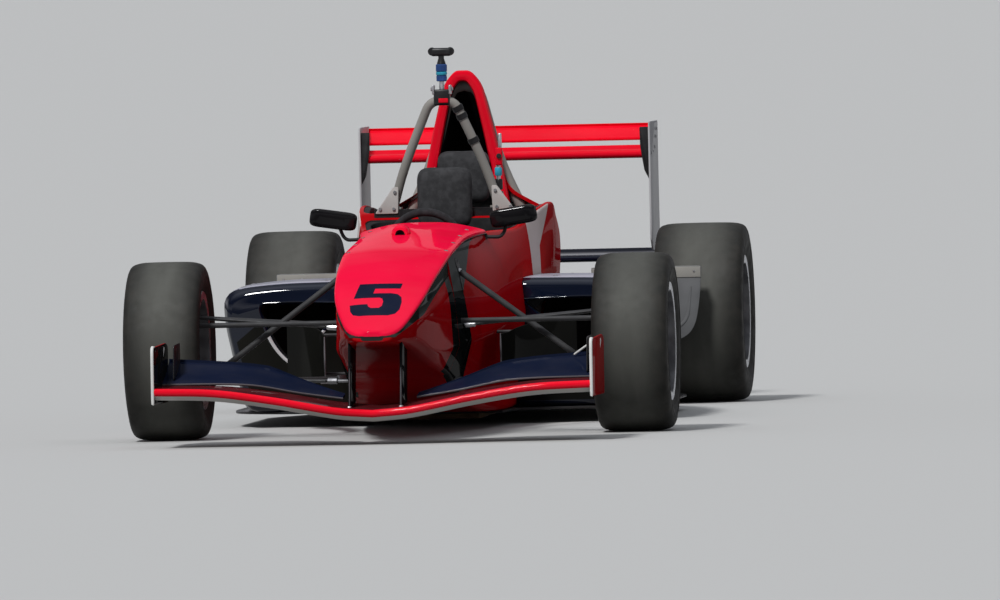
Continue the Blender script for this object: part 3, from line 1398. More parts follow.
def leg(outer, inner, body_share, fitting):
    """A streamlined leg with a rod end where it meets the body."""
    outer, inner = Vector(outer), Vector(inner)
    joint = inner.lerp(outer, body_share)
    arm = swept(straight(outer, joint), 0.0135, 0.0060, 14, ends=(0.6, 0.55))
    shank = swept(straight(joint.lerp(inner, -0.03), inner, inset=0.008), 0.0055, 0.0055, 10)
    collar = swept(straight(joint.lerp(inner, 0.02), joint.lerp(inner, 0.42), inset=0.002), 0.0115,
                   0.0098, 8, ends=(0.8, 0.8))
    return [(arm, 0), (shank, fitting), (collar, fitting)]


def ball_housing(x, station, z):
    profile = [(0.0064, -0.0070), (0.0130, -0.0070), (0.0150, -0.0050), (0.0158, 0.0),
               (0.0150, 0.0050), (0.0130, 0.0070),
               (0.0064, 0.0070), (0.0064, -0.0070)]
    return spun(profile, (x, at(station), z), "Z", 28)


def make_wishbones(end, axle, node):
    shells = []
    for z, inner_x, inner_z, stations in WISHBONES[end]:
        x = BALL_PIN_X[end]
        shells.append((ball_housing(x, axle, z), 1))
        for station in stations:
            outer, inner = Vector((x, at(axle), z)), Vector((inner_x, at(station), inner_z))
            start = outer + (inner - outer).normalized() * 0.0125
            shells += leg(start, inner, ROD_END_SHARES[end], 1 if z > 0.3 else 2)
    joined(f"{end}_suspension_arms", doubled(shells), [arm_paint, machined_alloy, dark_steel], "black_tube",
           replaces=[node])


def make_pushrods(end, outer, inner, share):
    """The rod proper is a tube, and a slim threaded end stands out of it at each end."""
    start, stop = (Vector((x, at(station), z)) for x, station, z in (outer, inner))
    low, high = start.lerp(stop, 0.10), start.lerp(stop, 1.0 - share)
    shells = [(swept(straight(low, high), 0.0095, 0.0095, 16, ends=(0.6, 0.6)), 0)]
    for near, far in ((start, low), (stop, high)):
        shells.append((swept(straight(near, far.lerp(near, -0.15), inset=0.002), 0.0052, 0.0052, 10), 1))
        shells.append((swept(straight(far.lerp(near, 0.02), far.lerp(near, 0.22), inset=0.001),
                             0.0098, 0.0098, 6), 1))
    joined(f"{end}_pushrod_pair", doubled(shells), [arm_paint, machined_alloy], "black_tube",
           replaces=[f"{end}_pushrods"])


make_wishbones("front", 0.0, "front_wishbones")
make_wishbones("rear", 3.150, "rear_wishbones")
make_pushrods("front", (0.602, 0.016, 0.182), (0.150, 0.050, 0.517), 0.06)
make_pushrods("rear", (0.545, 3.124, 0.198), (0.100, 3.060, 0.336), 0.06)

# %% [markdown]
# Where a pushrod enters the tub there is a dark slot in the shape of a Y. A thin dark plate that follows
# the tub's side makes it, because nothing behind the slot shows.

# %% Pushrod slots
SLOT = [(0.020, 0.540), (0.034, 0.520), (0.080, 0.532), (0.086, 0.518), (0.056, 0.496), (0.050, 0.440),
        (0.034, 0.440), (0.030, 0.494), (0.010, 0.522)]


def half_at(station, height):
    """Half the body's width at a height, between its four lines."""
    lines = body_lines(station)
    for (x0, z0), (x1, z1) in zip(lines, lines[1:]):
        if z0 >= height >= z1:
            return x0 + (x1 - x0) * (z0 - height) / (z0 - z1)
    return lines[0][0] if height > lines[0][1] else lines[-1][0]


def make_slots():
    points = softened(SLOT, [0.004] * len(SLOT), closed=True, arc=3)
    bm = slab([(half_at(y, z) - 0.004, at(y), z) for y, z in points], (0.0056, 0, 0), 0.0006)
    both_halves(bm)
    make_piece("pushrod_slots", bm, [matt_black], "black_gloss")


make_slots()

# %% [markdown]
# Each sidepod is a duct inside a shell. One chain of rings makes it whole: from the radiator forwards
# along the duct, out through the V shaped mouth, round its lip, over the front face, and back along
# the outside to the tail, where it turns in again. Every ring is found by rays from one middle point,
# so that the rings match point for point. The inner side keeps inside the wall of the tub.

# %% Rings for the sidepods
POD_ROWS = [
    (1.100, 0.236, 0.655, 0.438, 0.034),
    (1.160, 0.230, 0.675, 0.455, 0.044),
    (1.800, 0.228, 0.675, 0.450, 0.044),
    (2.350, 0.212, 0.560, 0.405, 0.044),
    (2.770, 0.184, 0.340, 0.330, 0.034),
]
POD_FLOOR = 0.050
POD_WALL = 0.012
MOUTH = [(0.262, 0.385), (0.560, 0.385), (0.521, 0.278), (0.487, 0.227), (0.440, 0.190), (0.384, 0.288)]
MOUTH_RADII = [0.010, 0.030, 0.040, 0.030, 0.030, 0.030]
DUCT_FRONT = [(0.285, 0.140), (0.600, 0.140), (0.600, 0.388), (0.285, 0.388)]
DUCT_BACK = [(0.262, 0.068), (0.648, 0.068), (0.648, 0.420), (0.262, 0.420)]
RING_COUNT = 96
POD_FILM = (1.145, 1.560)
MOUTH_MIDDLE = (0.452, 0.330)
DUCT_MIDDLE = (0.450, 0.270)


def ray_ring(outline, middle):
    """Rays from a middle point, each with the distance at which it meets an outline."""
    reaches = []
    for step in range(RING_COUNT):
        turn = math.tau * (step + 0.5) / RING_COUNT
        ray = Vector((math.cos(turn), math.sin(turn)))
        best = 0.0
        for start, end in zip(outline, outline[1:] + outline[:1]):
            edge = end - start
            cross = ray.x * edge.y - ray.y * edge.x
            if abs(cross) < 1e-12:
                continue
            gap = start - middle
            reach = (gap.x * edge.y - gap.y * edge.x) / cross
            share = (gap.x * ray.y - gap.y * ray.x) / cross
            if reach > best and -1e-9 <= share <= 1 + 1e-9:
                best = reach
        reaches.append((ray, best))
    return reaches


def ring_points(outline, radii, middle, station, offset=0.0, clamp=True):
    middle = Vector(middle)
    closed = [Vector(point) for point in softened(outline, radii, closed=True, arc=6)]
    points = []
    for ray, reach in ray_ring(closed, middle):
        spot = middle + ray * (reach + offset)
        x = spot.x
        if clamp and station < BODY_ROWS[-1][0]:
            x = max(x, half_at(station, spot.y) - 0.012)
        points.append((x, at(station), spot.y))
    return points


mouth_reach = max(reach for ray, reach in ray_ring([Vector(corner) for corner in MOUTH],
                                                   Vector(MOUTH_MIDDLE)))
print(f"the mouth reaches {mouth_reach:.3f} m from its middle")

# %% [markdown]
# The outside of a pod is a rounded box that narrows to the tail. Its table gives, for a station, the
# inner side, the outer side, the top and the radius of the corners.

# %% Sidepod outline
def pod_outline(station, inset=0.0):
    inner, outer, top, corner = between(POD_ROWS, station)
    tuck = 0.060 - 0.042 * min(1.0, max(0.0, (station - 1.15) / 0.7))
    outline = [(inner + inset, POD_FLOOR + inset), (outer - tuck - inset, POD_FLOOR + inset),
               (outer - inset, top - 0.12), (outer - inset, top - 0.022 - inset),
               (outer - 0.16, top - 0.004 - inset), (inner + inset, top - inset)]
    soft = max(0.006, corner - inset)
    return outline, [soft, soft, 0.05, 0.075, 0.08, soft]


def pod_ring(station, inset=0.0, row=None):
    outline, radii = pod_outline(row or station, inset)
    inner, outer, top = outline[0][0], outline[3][0], outline[5][1]
    return ring_points(outline, radii, ((inner + outer) / 2, 0.60 * top + 0.02), station)


print(f"a pod is {pod_outline(1.800)[0][3][0] - pod_outline(1.800)[0][0][0]:.3f} m wide at station 1.8")

# %% [markdown]
# The rings run from the radiator out to the mouth and back, and they are bridged one after another.
# Then each zone takes its finish: dark inside, a bright lip low down, and a pale film on the level
# part of the top, behind the mouth.

# %% Sidepod shells
TAIL_INSIDE = (2.768, 2.700, 2.400, 2.000, 1.640)
LIP_LOW = 0.30
FILM_LOW = 0.40


def pod_rings():
    """All rings in order, with the number of the last ring of the lip."""
    rings = [ring_points(DUCT_BACK, [0.03] * 4, DUCT_MIDDLE, 1.558, clamp=False)]
    rings.append(ring_points(DUCT_FRONT, [0.04] * 4, DUCT_MIDDLE, 1.176, clamp=False))
    for station, offset in ((1.170, 0.0), (1.112, 0.0), (1.101, 0.0025), (1.0965, 0.008), (1.0985, 0.013)):
        rings.append(ring_points(MOUTH, MOUTH_RADII, MOUTH_MIDDLE, station, offset))
    lip_end = len(rings) - 1
    for station, inset in ((1.102, 0.020), (1.1045, 0.010), (1.112, 0.004), (1.124, 0.0)):
        rings.append(pod_ring(station, inset, row=max(1.124, station)))
    rings += [pod_ring(station) for station in steps(1.150, 2.764, 0.06)]
    rings.append(pod_ring(2.770, 0.003))
    rings += [pod_ring(station, POD_WALL) for station in TAIL_INSIDE]
    return rings, lip_end


def stitched(bm, rings):
    """Bridges each ring to the next. A layer keeps the number of each vertex's ring."""
    layer = bm.verts.layers.int.new("ring")
    loops = [chain(bm, ring, closed=True) for ring in rings]
    for number, loop in enumerate(loops):
        for edge in loop:
            for vert in edge.verts:
                vert[layer] = number
    for before, after in zip(loops, loops[1:]):
        bmesh.ops.bridge_loops(bm, edges=before + after)
    return layer


def paint_pod(bm, layer, lip_end, outer_end):
    for face in bm.faces:
        numbers = {vert[layer] for vert in face.verts}
        low = face.calc_center_median().z < LIP_LOW
        if max(numbers) <= 3 or min(numbers) >= outer_end:
            face.material_index = 1
        elif lip_end - 2 <= min(numbers) and max(numbers) <= lip_end + 1 and low:
            face.material_index = 2 if max(numbers) <= lip_end else 3
    for place in POD_FILM:
        cut_across(bm, (0, at(place), 0), (0, 1, 0))
    bm.normal_update()
    for face in bm.faces:
        middle = face.calc_center_median()
        level = abs(face.normal.z) > 0.90 and middle.z > FILM_LOW
        if face.material_index == 0 and level and POD_FILM[0] < middle.y - FRONT_AXLE < POD_FILM[1]:
            face.material_index = 4


def make_sidepod(side):
    rings, lip_end = pod_rings()
    bm = new_shell()
    layer = stitched(bm, rings)
    paint_pod(bm, layer, lip_end, len(rings) - len(TAIL_INSIDE) - 1)
    close_ends(bm)
    bmesh.ops.scale(bm, vec=(SIDES[side], 1, 1), verts=bm.verts)
    make_piece(f"sidepod_shell_{side}", bm, [navy_paint, matt_black, lip_paint, pod_black, pod_film],
               "navy_gloss", replaces=[f"sidepod_{side}"], shade=40)


for side in SIDES:
    make_sidepod(side)

# %% [markdown]
# A row of quarter turn fasteners holds the lid of each pod, the hatch and the engine cover. Each one is
# a spun cup with a slotted screw in it, and a ray finds the surface that it stands on.

# %% Quarter turn fasteners
def fastener(spot, normal, size=0.008):
    """A dished washer and a screw with a slot, standing on a surface."""
    washer = [(0.0, 0.0002), (size * 0.75, 0.0002), (size * 0.80, 0.0016), (size, 0.0008), (size, -0.0015),
              (0.0, -0.0015)]
    screw = [(0.0, 0.0004), (size * 0.55, 0.0004), (size * 0.5, 0.0016), (0.0, 0.0018)]
    slot = block((0, 0, 0.0018), (size * 0.9, size * 0.16, 0.0006), 0)
    shells = [(spun(washer, (0, 0, 0), "Z", 16), 0), (spun(screw, (0, 0, 0), "Z", 12), 0), (slot, 1)]
    return moved(shells, spot, turn=Vector(normal).to_track_quat("Z", "Y").to_matrix())


def fasteners_on(name, target, spots, direction, size=0.008):
    """Rays find the surface under each (x, y, z) start, and a fastener is set there, on both sides."""
    tree = surface_of(target)
    shells = []
    for start in spots:
        for sign in (1, -1):
            ray = Vector((direction[0] * sign, direction[1], direction[2]))
            hit, normal = tree.ray_cast(Vector((start[0] * sign, start[1], start[2])), ray)[:2]
            if hit:
                shells += fastener(hit, normal if normal.dot(ray) < 0 else -normal, size)
    joined(name, shells, [steel, matt_black], "rod_steel")


POD_LID = [(0.62, 1.22), (0.62, 1.50), (0.62, 1.80), (0.56, 2.10), (0.36, 1.22), (0.36, 1.80), (0.36, 2.10)]
HATCH_EDGE = (-0.10, 0.12, 0.34, 0.56)
pod_spots = [(x, at(y), 0.8) for x, y in POD_LID]
for side in SIDES:
    fasteners_on(f"pod_fasteners_{side}", bpy.data.objects[f"sidepod_shell_{side}"], pod_spots, (0, 0, -1))
hatch_spots = [(0.150, at(y), 0.9) for y in HATCH_EDGE]
fasteners_on("hatch_fasteners", hatch_cover, hatch_spots, (0, 0, -1), 0.007)

# %% [markdown]
# The engine cover rises from the tub's width to the top of the roll structure, and falls away in a
# narrow spine. Its section is one line, out along the outside and back along the inside, with the
# creases softened as a moulding has them.

# %% Engine cover
COVER_ROWS = [
    (2.090, 0.285, 0.300, 0.276, 0.640, 0.132, 0.720, 0.105, 0.867, 0.060, 1.050, 0.024, 1.092),
    (2.500, 0.238, 0.300, 0.206, 0.560, 0.104, 0.640, 0.080, 0.780, 0.045, 0.925, 0.018, 0.960),
    (2.950, 0.138, 0.300, 0.112, 0.450, 0.066, 0.500, 0.050, 0.560, 0.030, 0.625, 0.014, 0.645),
]
COVER_SOFT = [0, 0.035, 0.045, 0.08, 0.030, 0.020, 0]
COVER_SKIN = 0.008


def cover_line(station, inset=0.0):
    values = between(COVER_ROWS, station)
    pairs = list(zip(values[0::2], values[1::2]))
    line = [(x - inset, z - (inset if index else 0.0)) for index, (x, z) in enumerate(pairs)]
    return softened(line + [(0.0, line[-1][1])], COVER_SOFT)


def make_engine_cover():
    bm = new_shell()
    sections = []
    for station in steps(2.092, 2.950, 0.04):
        outside = [tuple(point) for point in cover_line(station)]
        inside = [tuple(point) for point in cover_line(station, COVER_SKIN)]
        sections.append(placed(station, outside + inside[::-1]))
    count = len(sections[0]) // 2
    skin(bm, sections, closed=True)
    zone(bm, count, 2 * count, 1)
    mirror_and_close(bm)
    return make_piece("engine_cover_shell", bm, [livery_red, matt_black], "red_paint",
                      replaces=["engine_cover"])


COVER_EDGE = [(2.20, 0.40), (2.20, 0.52), (2.55, 0.36), (2.55, 0.48), (2.86, 0.35)]
cover_shell = make_engine_cover()
fasteners_on("cover_fasteners", cover_shell, [(1.0, at(y), z) for y, z in COVER_EDGE], (-1, 0, 0))

# %% [markdown]
# The second roll hoop stands in a faired arch. It is drawn as a band swept up one side and over the
# top: rounded to the front, open behind, dark inside.

# %% Rear roll arch
ARCH_FRONT = 2.046
ARCH_BACK = 2.092
ARCH_OUTER = [(0.150, 0.610), (0.132, 0.720), (0.105, 0.867), (0.060, 1.050), (0.024, 1.092), (0.0, 1.092)]
ARCH_INNER = [(0.110, 0.600), (0.094, 0.720), (0.070, 0.860), (0.036, 1.020), (0.014, 1.056), (0.0, 1.058)]
ARCH_SOFT = [0, 0.05, 0.08, 0.030, 0.020, 0]
ARCH_SECTION = [(0.0, ARCH_BACK), (-0.02, 2.070), (0.0, 2.056), (0.10, 2.0485), (0.3, ARCH_FRONT),
                (0.6, ARCH_FRONT), (0.85, 2.0485), (0.97, 2.056), (1.0, 2.066), (1.0, ARCH_BACK)]
REAR_HOOP = [(0.20, 0.60), (0.105, 0.80), (0.045, 1.035), (0.0, 1.045)]
REAR_HOOP_STATION = 2.120


def make_arch():
    bm = new_shell()
    sections = []
    for rim, throat in zip(softened(ARCH_OUTER, ARCH_SOFT), softened(ARCH_INNER, ARCH_SOFT)):
        spots = [(rim.lerp(throat, share), station) for share, station in ARCH_SECTION]
        sections.append([(spot.x, at(station), spot.y) for spot, station in spots])
    skin(bm, sections, closed=True)
    zone(bm, 7, 9, 1)
    mirror_and_close(bm)
    make_piece("rear_arch_band", bm, [bead_red, matt_black], "red_paint", replaces=["rear_roll_arch"])


def make_rear_hoop():
    half = [Vector((x, at(REAR_HOOP_STATION), z)) for x, z in softened(REAR_HOOP, [0, 0.10, 0.05, 0])]
    bar = swept(half + [Vector((-p.x, p.y, p.z)) for p in reversed(half[:-1])], 0.018,
                count=18, level=(0, 1, 0))
    make_piece("rear_hoop_tube", bar, [hoop_paint], "grey_paint")


make_arch()
make_rear_hoop()

# %% [markdown]
# The rear wing has two foils between flat plates. A foil starts as a round nose, and its two surfaces
# run back to a thin tail. The camber bends both. A small lip stands along the tail of the flap.

# %% Rear wing
def foil(nose, tail, camber=0.0, lip=0.0):
    """A foil's outline as (station, height). Nose and tail are (station, height, radius)."""
    (y0, z0, r0), (y1, z1, r1) = nose, tail
    chord = math.hypot(y1 - y0, z1 - z0)
    ahead = Vector((y1 - y0, z1 - z0)) / chord
    up = Vector((-ahead.y, ahead.x))
    start = Vector((y0, z0))
    upper, lower = [], []
    for step in range(1, 12):
        share = (step / 12) ** 1.4
        thick = r1 + (r0 * 1.12 - r1) * (1 - share) ** 0.85
        bend = -camber * 4 * share * (1 - share)
        upper.append(start + ahead * chord * share + up * (bend + thick))
        lower.append(start + ahead * chord * share + up * (bend - thick))
    nose_line = [start + Vector(point) for point in arc((0, 0), r0, 115, 265, 8)]
    end = start + ahead * chord
    tail_line = [end - up * r1, end + ahead * r1 * 0.6, end + up * (r1 + lip)]
    if lip:
        tail_line.append(end + up * (r1 + lip) - ahead * 0.002)
        tail_line.append(end + up * r1 - ahead * 0.002)
    return nose_line + lower + tail_line + upper[::-1]


def make_foil(name, nose, tail, half, finishes, slot, replaces, camber=0.0, lip=0.0, under=0):
    bm = new_shell()
    outline = foil(nose, tail, camber, lip)
    skin(bm, [[(x, at(p[0]), p[1]) for p in outline] for x in steps(-half, half, 0.08)], closed=True)
    if under:
        zone(bm, 8, 19, 1)
    close_ends(bm)
    return make_piece(name, bm, finishes, slot, replaces=replaces, shade=45)


REAR_HALF = 0.4672
make_foil("rear_plane", (3.424, 0.798, 0.012), (3.590, 0.822, 0.003), REAR_HALF,
          [bead_red, wing_shadow], "red_paint",
          ["rear_wing_main_plane"], camber=0.010, under=1)
make_foil("rear_flap", (3.600, 0.846, 0.006), (3.668, 0.886, 0.0025), REAR_HALF,
          [bead_red, wing_shadow], "red_paint",
          ["rear_wing_flap"], camber=0.004, lip=0.008)
make_foil("rear_beam", (3.432, 0.462, 0.010), (3.600, 0.488, 0.003), REAR_HALF,
          [navy_paint, black_lacquer], "navy_gloss",
          ["beam_wing"], camber=0.006, under=1)

# %% [markdown]
# The wing plates are flat sheet with a folded rim in front. A dark web stiffens each plate near the
# top, and screws hold the foils. Two blades stand on the gearbox and carry the lower foil.

# %% Rear wing plates and blades
REAR_PLATE = [(3.398, 0.520), (3.440, 0.485), (3.690, 0.485), (3.692, 0.902), (3.400, 0.902)]
BLADE = [(3.334, 0.304), (3.414, 0.304), (3.556, 0.474), (3.452, 0.462)]
REAR_PLATE_EDGE = [(3.436, 0.488), (3.402, 0.520), (3.3985, 0.56), (3.3985, 0.88), (3.402, 0.900)]
REAR_WEB = [(0.4672, 0.885), (0.4672, 0.715), (0.452, 0.745), (0.440, 0.820), (0.4385, 0.885)]
REAR_SCREWS = [(3.440, 0.800), (3.500, 0.806), (3.570, 0.818), (3.612, 0.852), (3.655, 0.876), (3.450, 0.465),
               (3.520, 0.474), (3.585, 0.484)]


def make_rear_plates():
    edge = swept(line_beside(0.4702, REAR_PLATE_EDGE), 0.0034, ends=(0.5, 0.5), level=(1, 0, 0))
    web = cross_slab(REAR_WEB, 0.004, 3.404, 3.409)
    shells = [(plate(REAR_PLATE, 0.014, 0.4674, 0.4728), 0), (edge, 0), (web, 1)]
    shells += [(hex_head((0.4726, at(y), z), "X", 0.0052, 0.0028), 2) for y, z in REAR_SCREWS]
    joined("rear_plate_pair", doubled(shells), [silver_paint, matt_black, steel], "end_plate_red",
           replaces=["rear_wing_end_plates"])
    feet = [(block((0.043, at(y), 0.318), (0.020, 0.026, 0.022), 0.003), 2) for y in (3.352, 3.396)]
    blades = [(plate(BLADE, 0.010, 0.040, 0.046, edge=0.002), 0)] + feet
    joined("rear_blade_pair", doubled(blades), [grey_paint, matt_black, machined_alloy], "grey_paint",
           replaces=["rear_wing_pylons"])


make_rear_plates()

# %% [markdown]
# The front roll hoop is one bent steel tube. Its foot plates are welded to the bulkhead, and a grey
# gusset is bolted in front of each foot. Three dark bands are wrapped round one leg.

# %% Front roll hoop
HOOP_PATH = [(-0.168, 1.453, 0.664), (-0.128, 1.433, 0.800), (-0.038, 1.395, 1.006), (0.038, 1.395, 1.006),
             (0.128, 1.433, 0.800), (0.168, 1.453, 0.664)]
HOOP_BENDS = [0, 0.11, 0.034, 0.034, 0.11, 0]
HOOP_TUBE = 0.0145


def hoop_line():
    line = []
    for spot in softened([(x, at(y), z) for x, y, z in HOOP_PATH], HOOP_BENDS, arc=10):
        if line and (spot - line[-1]).length > 0.05:
            line += [line[-1].lerp(spot, share) for share in (0.25, 0.5, 0.75)]
        line.append(spot)
    return line


FOOT = [(0.140, 0.668), (0.205, 0.668), (0.205, 0.674), (0.140, 0.674)]
FOOT_WEB = [(0.152, 0.690), (0.172, 0.690), (0.163, 0.724), (0.152, 0.724)]
GUSSET = [(0.149, 0.655), (0.222, 0.655), (0.163, 0.738), (0.146, 0.738)]
GUSSET_BOLTS = [(0.162, 0.670), (0.205, 0.670), (0.158, 0.722)]
FOOT_BOLTS = (0.150, 0.195)
BAND_SHARES = (0.34, 0.39, 0.52)


def hoop_foot(sign):
    """The plate under one leg, its web and its gusset, with their bolts."""
    shells = [(cross_slab(FOOT, 0.001, 1.427, 1.479, 0.0008, sign), 0),
              (cross_slab(FOOT_WEB, 0.002, 1.421, 1.452, 0.001, sign), 1),
              (cross_slab(GUSSET, 0.006, 1.4188, 1.4245, 0.0012, sign), 1)]
    shells += [(hex_head((sign * x, at(1.4135), z), "Y", 0.0055, 0.0055), 2) for x, z in GUSSET_BOLTS]
    return shells + [(hex_head((sign * x, at(1.437), 0.6735), "Z", 0.0045, 0.004), 2) for x in FOOT_BOLTS]


def hoop_band(line, share):
    number = int(len(line) * (0.5 + share / 2))
    start, after = line[number], line[number + 1]
    way = (after - start).normalized() * 0.009
    path = [start - way, start - way * 0.9, start + way * 0.9, start + way]
    return swept(path, HOOP_TUBE + 0.003, count=20, ends=(0.9, 0.9), level=(0, 1, 0))


def make_hoop():
    line = hoop_line()
    shells = [(swept(line, HOOP_TUBE, count=20, level=(0, 1, 0)), 0)] + hoop_foot(1) + hoop_foot(-1)
    shells += [(hoop_band(line, share), 3) for share in BAND_SHARES]
    joined("roll_hoop_tube", shells, [hoop_paint, gusset_grey, steel, matt_black], "grey_paint",
           replaces=["front_roll_hoop"])


make_hoop()

# %% [markdown]
# A small camera sits on top of the hoop. Its clamp has two bright ears with a screw through each, its
# post has two knurled blue collars with a ring between, and the head is a rounded bar with two round
# caps. Both cameras take the same six finishes.

# %% Camera on the hoop
def knurled(centre, radius, low, high, count=40):
    """A knurled grip: a ring whose every second rib is drawn in."""
    profile = [(radius * 0.86, low), (radius, low + 0.003), (radius, high - 0.003), (radius * 0.86, high)]
    bm = turned(profile, centre, "Z", count)
    for vert in bm.verts:
        away = Vector((vert.co.x - centre[0], vert.co.y - centre[1]))
        rib = round(math.atan2(away.y, away.x) / math.tau * count)
        if rib % 2 and away.length > radius * 0.7:
            vert.co.x -= away.x * 0.07
            vert.co.y -= away.y * 0.07
    return bm


CAMERA_FINISHES = [camera_plastic, camera_blue, camera_cyan, machined_alloy, steel, bead_red]
CAP = [(0.011, -0.006), (0.013, -0.003), (0.013, 0.003), (0.011, 0.006)]
NECK = [(0.012, 1.118), (0.014, 1.122), (0.009, 1.138), (0.009, 1.146)]
COLLAR_RING = [(0.0165, 1.086), (0.0175, 1.089), (0.0175, 1.093), (0.0165, 1.096)]


def make_hoop_camera():
    y = at(1.395)
    shells = [(block((0, y, 1.158), (0.066, 0.024, 0.026), 0.008), 0)]
    shells += [(turned(CAP, (x * 0.86, y, 1.160), "Y"), 0) for x in (-0.033, 0.033)]
    shells += [(turned(NECK, (0, y, 0), "Z"), 0), (knurled((0, y, 0), 0.0175, 1.096, 1.120), 1),
               (turned(COLLAR_RING, (0, y, 0), "Z", 32), 2), (knurled((0, y, 0), 0.0165, 1.066, 1.086), 1),
               (turned([(0.008, 1.030), (0.008, 1.068)], (0, y, 0), "Z", 20), 3),
               (block((0, y, 1.016), (0.050, 0.040, 0.050), 0.006), 0)]
    for x in (-0.026, 0.026):
        screw_x = x + (0.004 if x > 0 else -0.009)
        shells += [(block((x, y - 0.004, 1.040), (0.008, 0.030, 0.030), 0.003), 3),
                   (hex_head((screw_x, y - 0.004, 1.042), "X", 0.006, 0.005), 4)]
    shells.append((block((0.006, y - 0.023, 1.006), (0.030, 0.006, 0.014), 0.002), 5))
    joined("hoop_camera", shells, CAMERA_FINISHES, "camera_black", replaces=["camera_mount"])


make_hoop_camera()

# %% [markdown]
# A second, smaller camera stands behind the left foot of the hoop. A red body sits on a short post with
# two knurled collars.

# %% Camera beside the hoop
SIDE_LENS = [(0.0, -0.005), (0.006, -0.005), (0.008, -0.002), (0.008, 0.002), (0.0, 0.003)]


def make_side_camera():
    x, y = 0.163, at(1.484)
    shells = [(block((x, y - 0.001, 0.696), (0.028, 0.024, 0.044), 0.004), 0),
              (knurled((x, y, 0), 0.0130, 0.722, 0.756, 28), 0),
              (knurled((x, y, 0), 0.0115, 0.766, 0.792, 28), 2),
              (turned([(0.007, 0.712), (0.007, 0.800)], (x, y, 0), "Z", 20), 3),
              (block((x + 0.003, y, 0.826), (0.021, 0.027, 0.056), 0.005), 5),
              (block((x + 0.007, y, 0.875), (0.010, 0.019, 0.048), 0.003), 3),
              (spun(SIDE_LENS, (x + 0.004, y - 0.016, 0.828), "Y", 24), 0)]
    joined("side_camera", shells, CAMERA_FINISHES, "camera_black")


make_side_camera()

# %% [markdown]
# Each mirror is a teardrop pod on a bent stalk. The pod is made as rings along its depth, small and
# rounded in front and open behind, where the glass sits in a thin rim.

# %% Mirrors
MIRROR_CENTRE = (0.280, 0.712, 0.652)
MIRROR_HALF = (0.073, 0.0285)
MIRROR_RINGS = [(-0.0270, 0.55), (-0.0262, 0.72), (-0.0235, 0.86), (-0.0170, 0.945),
                (-0.0060, 0.99), (0.0120, 1.0),
                (0.0255, 0.985), (0.0268, 0.96), (0.0262, 0.93), (0.0215, 0.915)]
STALK = [(0.266, 0.645), (0.250, 0.600), (0.237, 0.588), (0.165, 0.590)]

STALK_FOOT = [(0.013, 0.0), (0.013, 0.003), (0.007, 0.009)]
STALK_LOW = 0.590


def boxy(value, power):
    """A cosine or a sine, drawn out so that a round ring becomes a rounded box."""
    return math.copysign(abs(value) ** power, value)


def mirror_ring(depth, size, count=48):
    ring = []
    for step in range(count):
        turn = math.tau * step / count
        across, up = boxy(math.cos(turn), 0.32), boxy(math.sin(turn), 0.45)
        ring.append((across * MIRROR_HALF[0] * size, depth, up * MIRROR_HALF[1] * size))
    return ring


def make_mirror(side):
    cx, station, cz = MIRROR_CENTRE
    bm = new_shell()
    skin(bm, [mirror_ring(depth, size) for depth, size in MIRROR_RINGS], closed=True)
    close_ends(bm)
    for face in bm.faces:
        if len(face.verts) > 8 and face.calc_center_median().y > 0.015:
            face.material_index = 1
    bmesh.ops.rotate(bm, verts=bm.verts, cent=(0, 0, 0), matrix=Matrix.Rotation(math.radians(-8.5), 3, "Y"))
    bmesh.ops.translate(bm, vec=(cx, at(station), cz), verts=bm.verts)
    line = softened([(x, at(station), z) for x, z in STALK], [0, 0.012, 0.010, 0], arc=8)
    foot = turned(STALK_FOOT, (half_at(station, STALK_LOW) - 0.003, at(station), STALK_LOW), "X")
    shells = [(bm, 0), (swept(line, 0.0055, count=14, level=(0, 1, 0)), 2), (foot, 2)]
    joined(f"mirror_{side}", moved(shells, (0, 0, 0), SIDES[side]), [black_lacquer, mirror_glass, matt_black],
           "black_gloss", replaces=["mirrors"] if side == "left" else [])


for side in SIDES:
    make_mirror(side)

# %% [markdown]
# Headrests are foam under a stitched cover. A pad is built as rings from back to front: a flat back,
# sides that pull in between the corners, and a crowned face. The seam is a thin welt all round, and
# each pad is declared as padded.

# %% Headrests
CHANNEL_HALF, CHANNEL_DEPTH = 0.010, 0.005


def pad_shell(width, height, depth, crown, pull=0.004, welt=0.0016, count=64):
    """A cushion that faces forwards. The middle of its back is at the origin."""
    bm = new_shell()
    sections = []
    layers = [(0.0, 0.90, 0), (0.02, 0.955, 0), (0.16, 0.995, 0), (0.38, 1.0, 0), (0.40, 1.0, 1),
              (0.43, 1.0, 1), (0.45, 1.0, 0),
              (0.70, 0.985, 0), (0.86, 0.93, 0), (0.95, 0.84, 0), (1.0, 0.68, 0),
              (1.0, 0.46, 0), (1.0, 0.22, 0)]
    for deep, size, proud in layers:
        ring = []
        for step in range(count):
            turn = math.tau * step / count
            across, up = boxy(math.cos(turn), 0.45), boxy(math.sin(turn), 0.45)
            waist = 1.0 - pull / width * 2 * (1 - abs(math.sin(2 * turn))) + proud * welt / width * 2
            rise = crown * max(0.0, 1.0 - size**2) * (deep > 0.9)
            ring.append((across * width / 2 * size * waist, -(deep * depth + rise),
                         up * height / 2 * size * waist))
        sections.append(ring)
    skin(bm, sections, closed=True)
    close_ends(bm)
    return bm


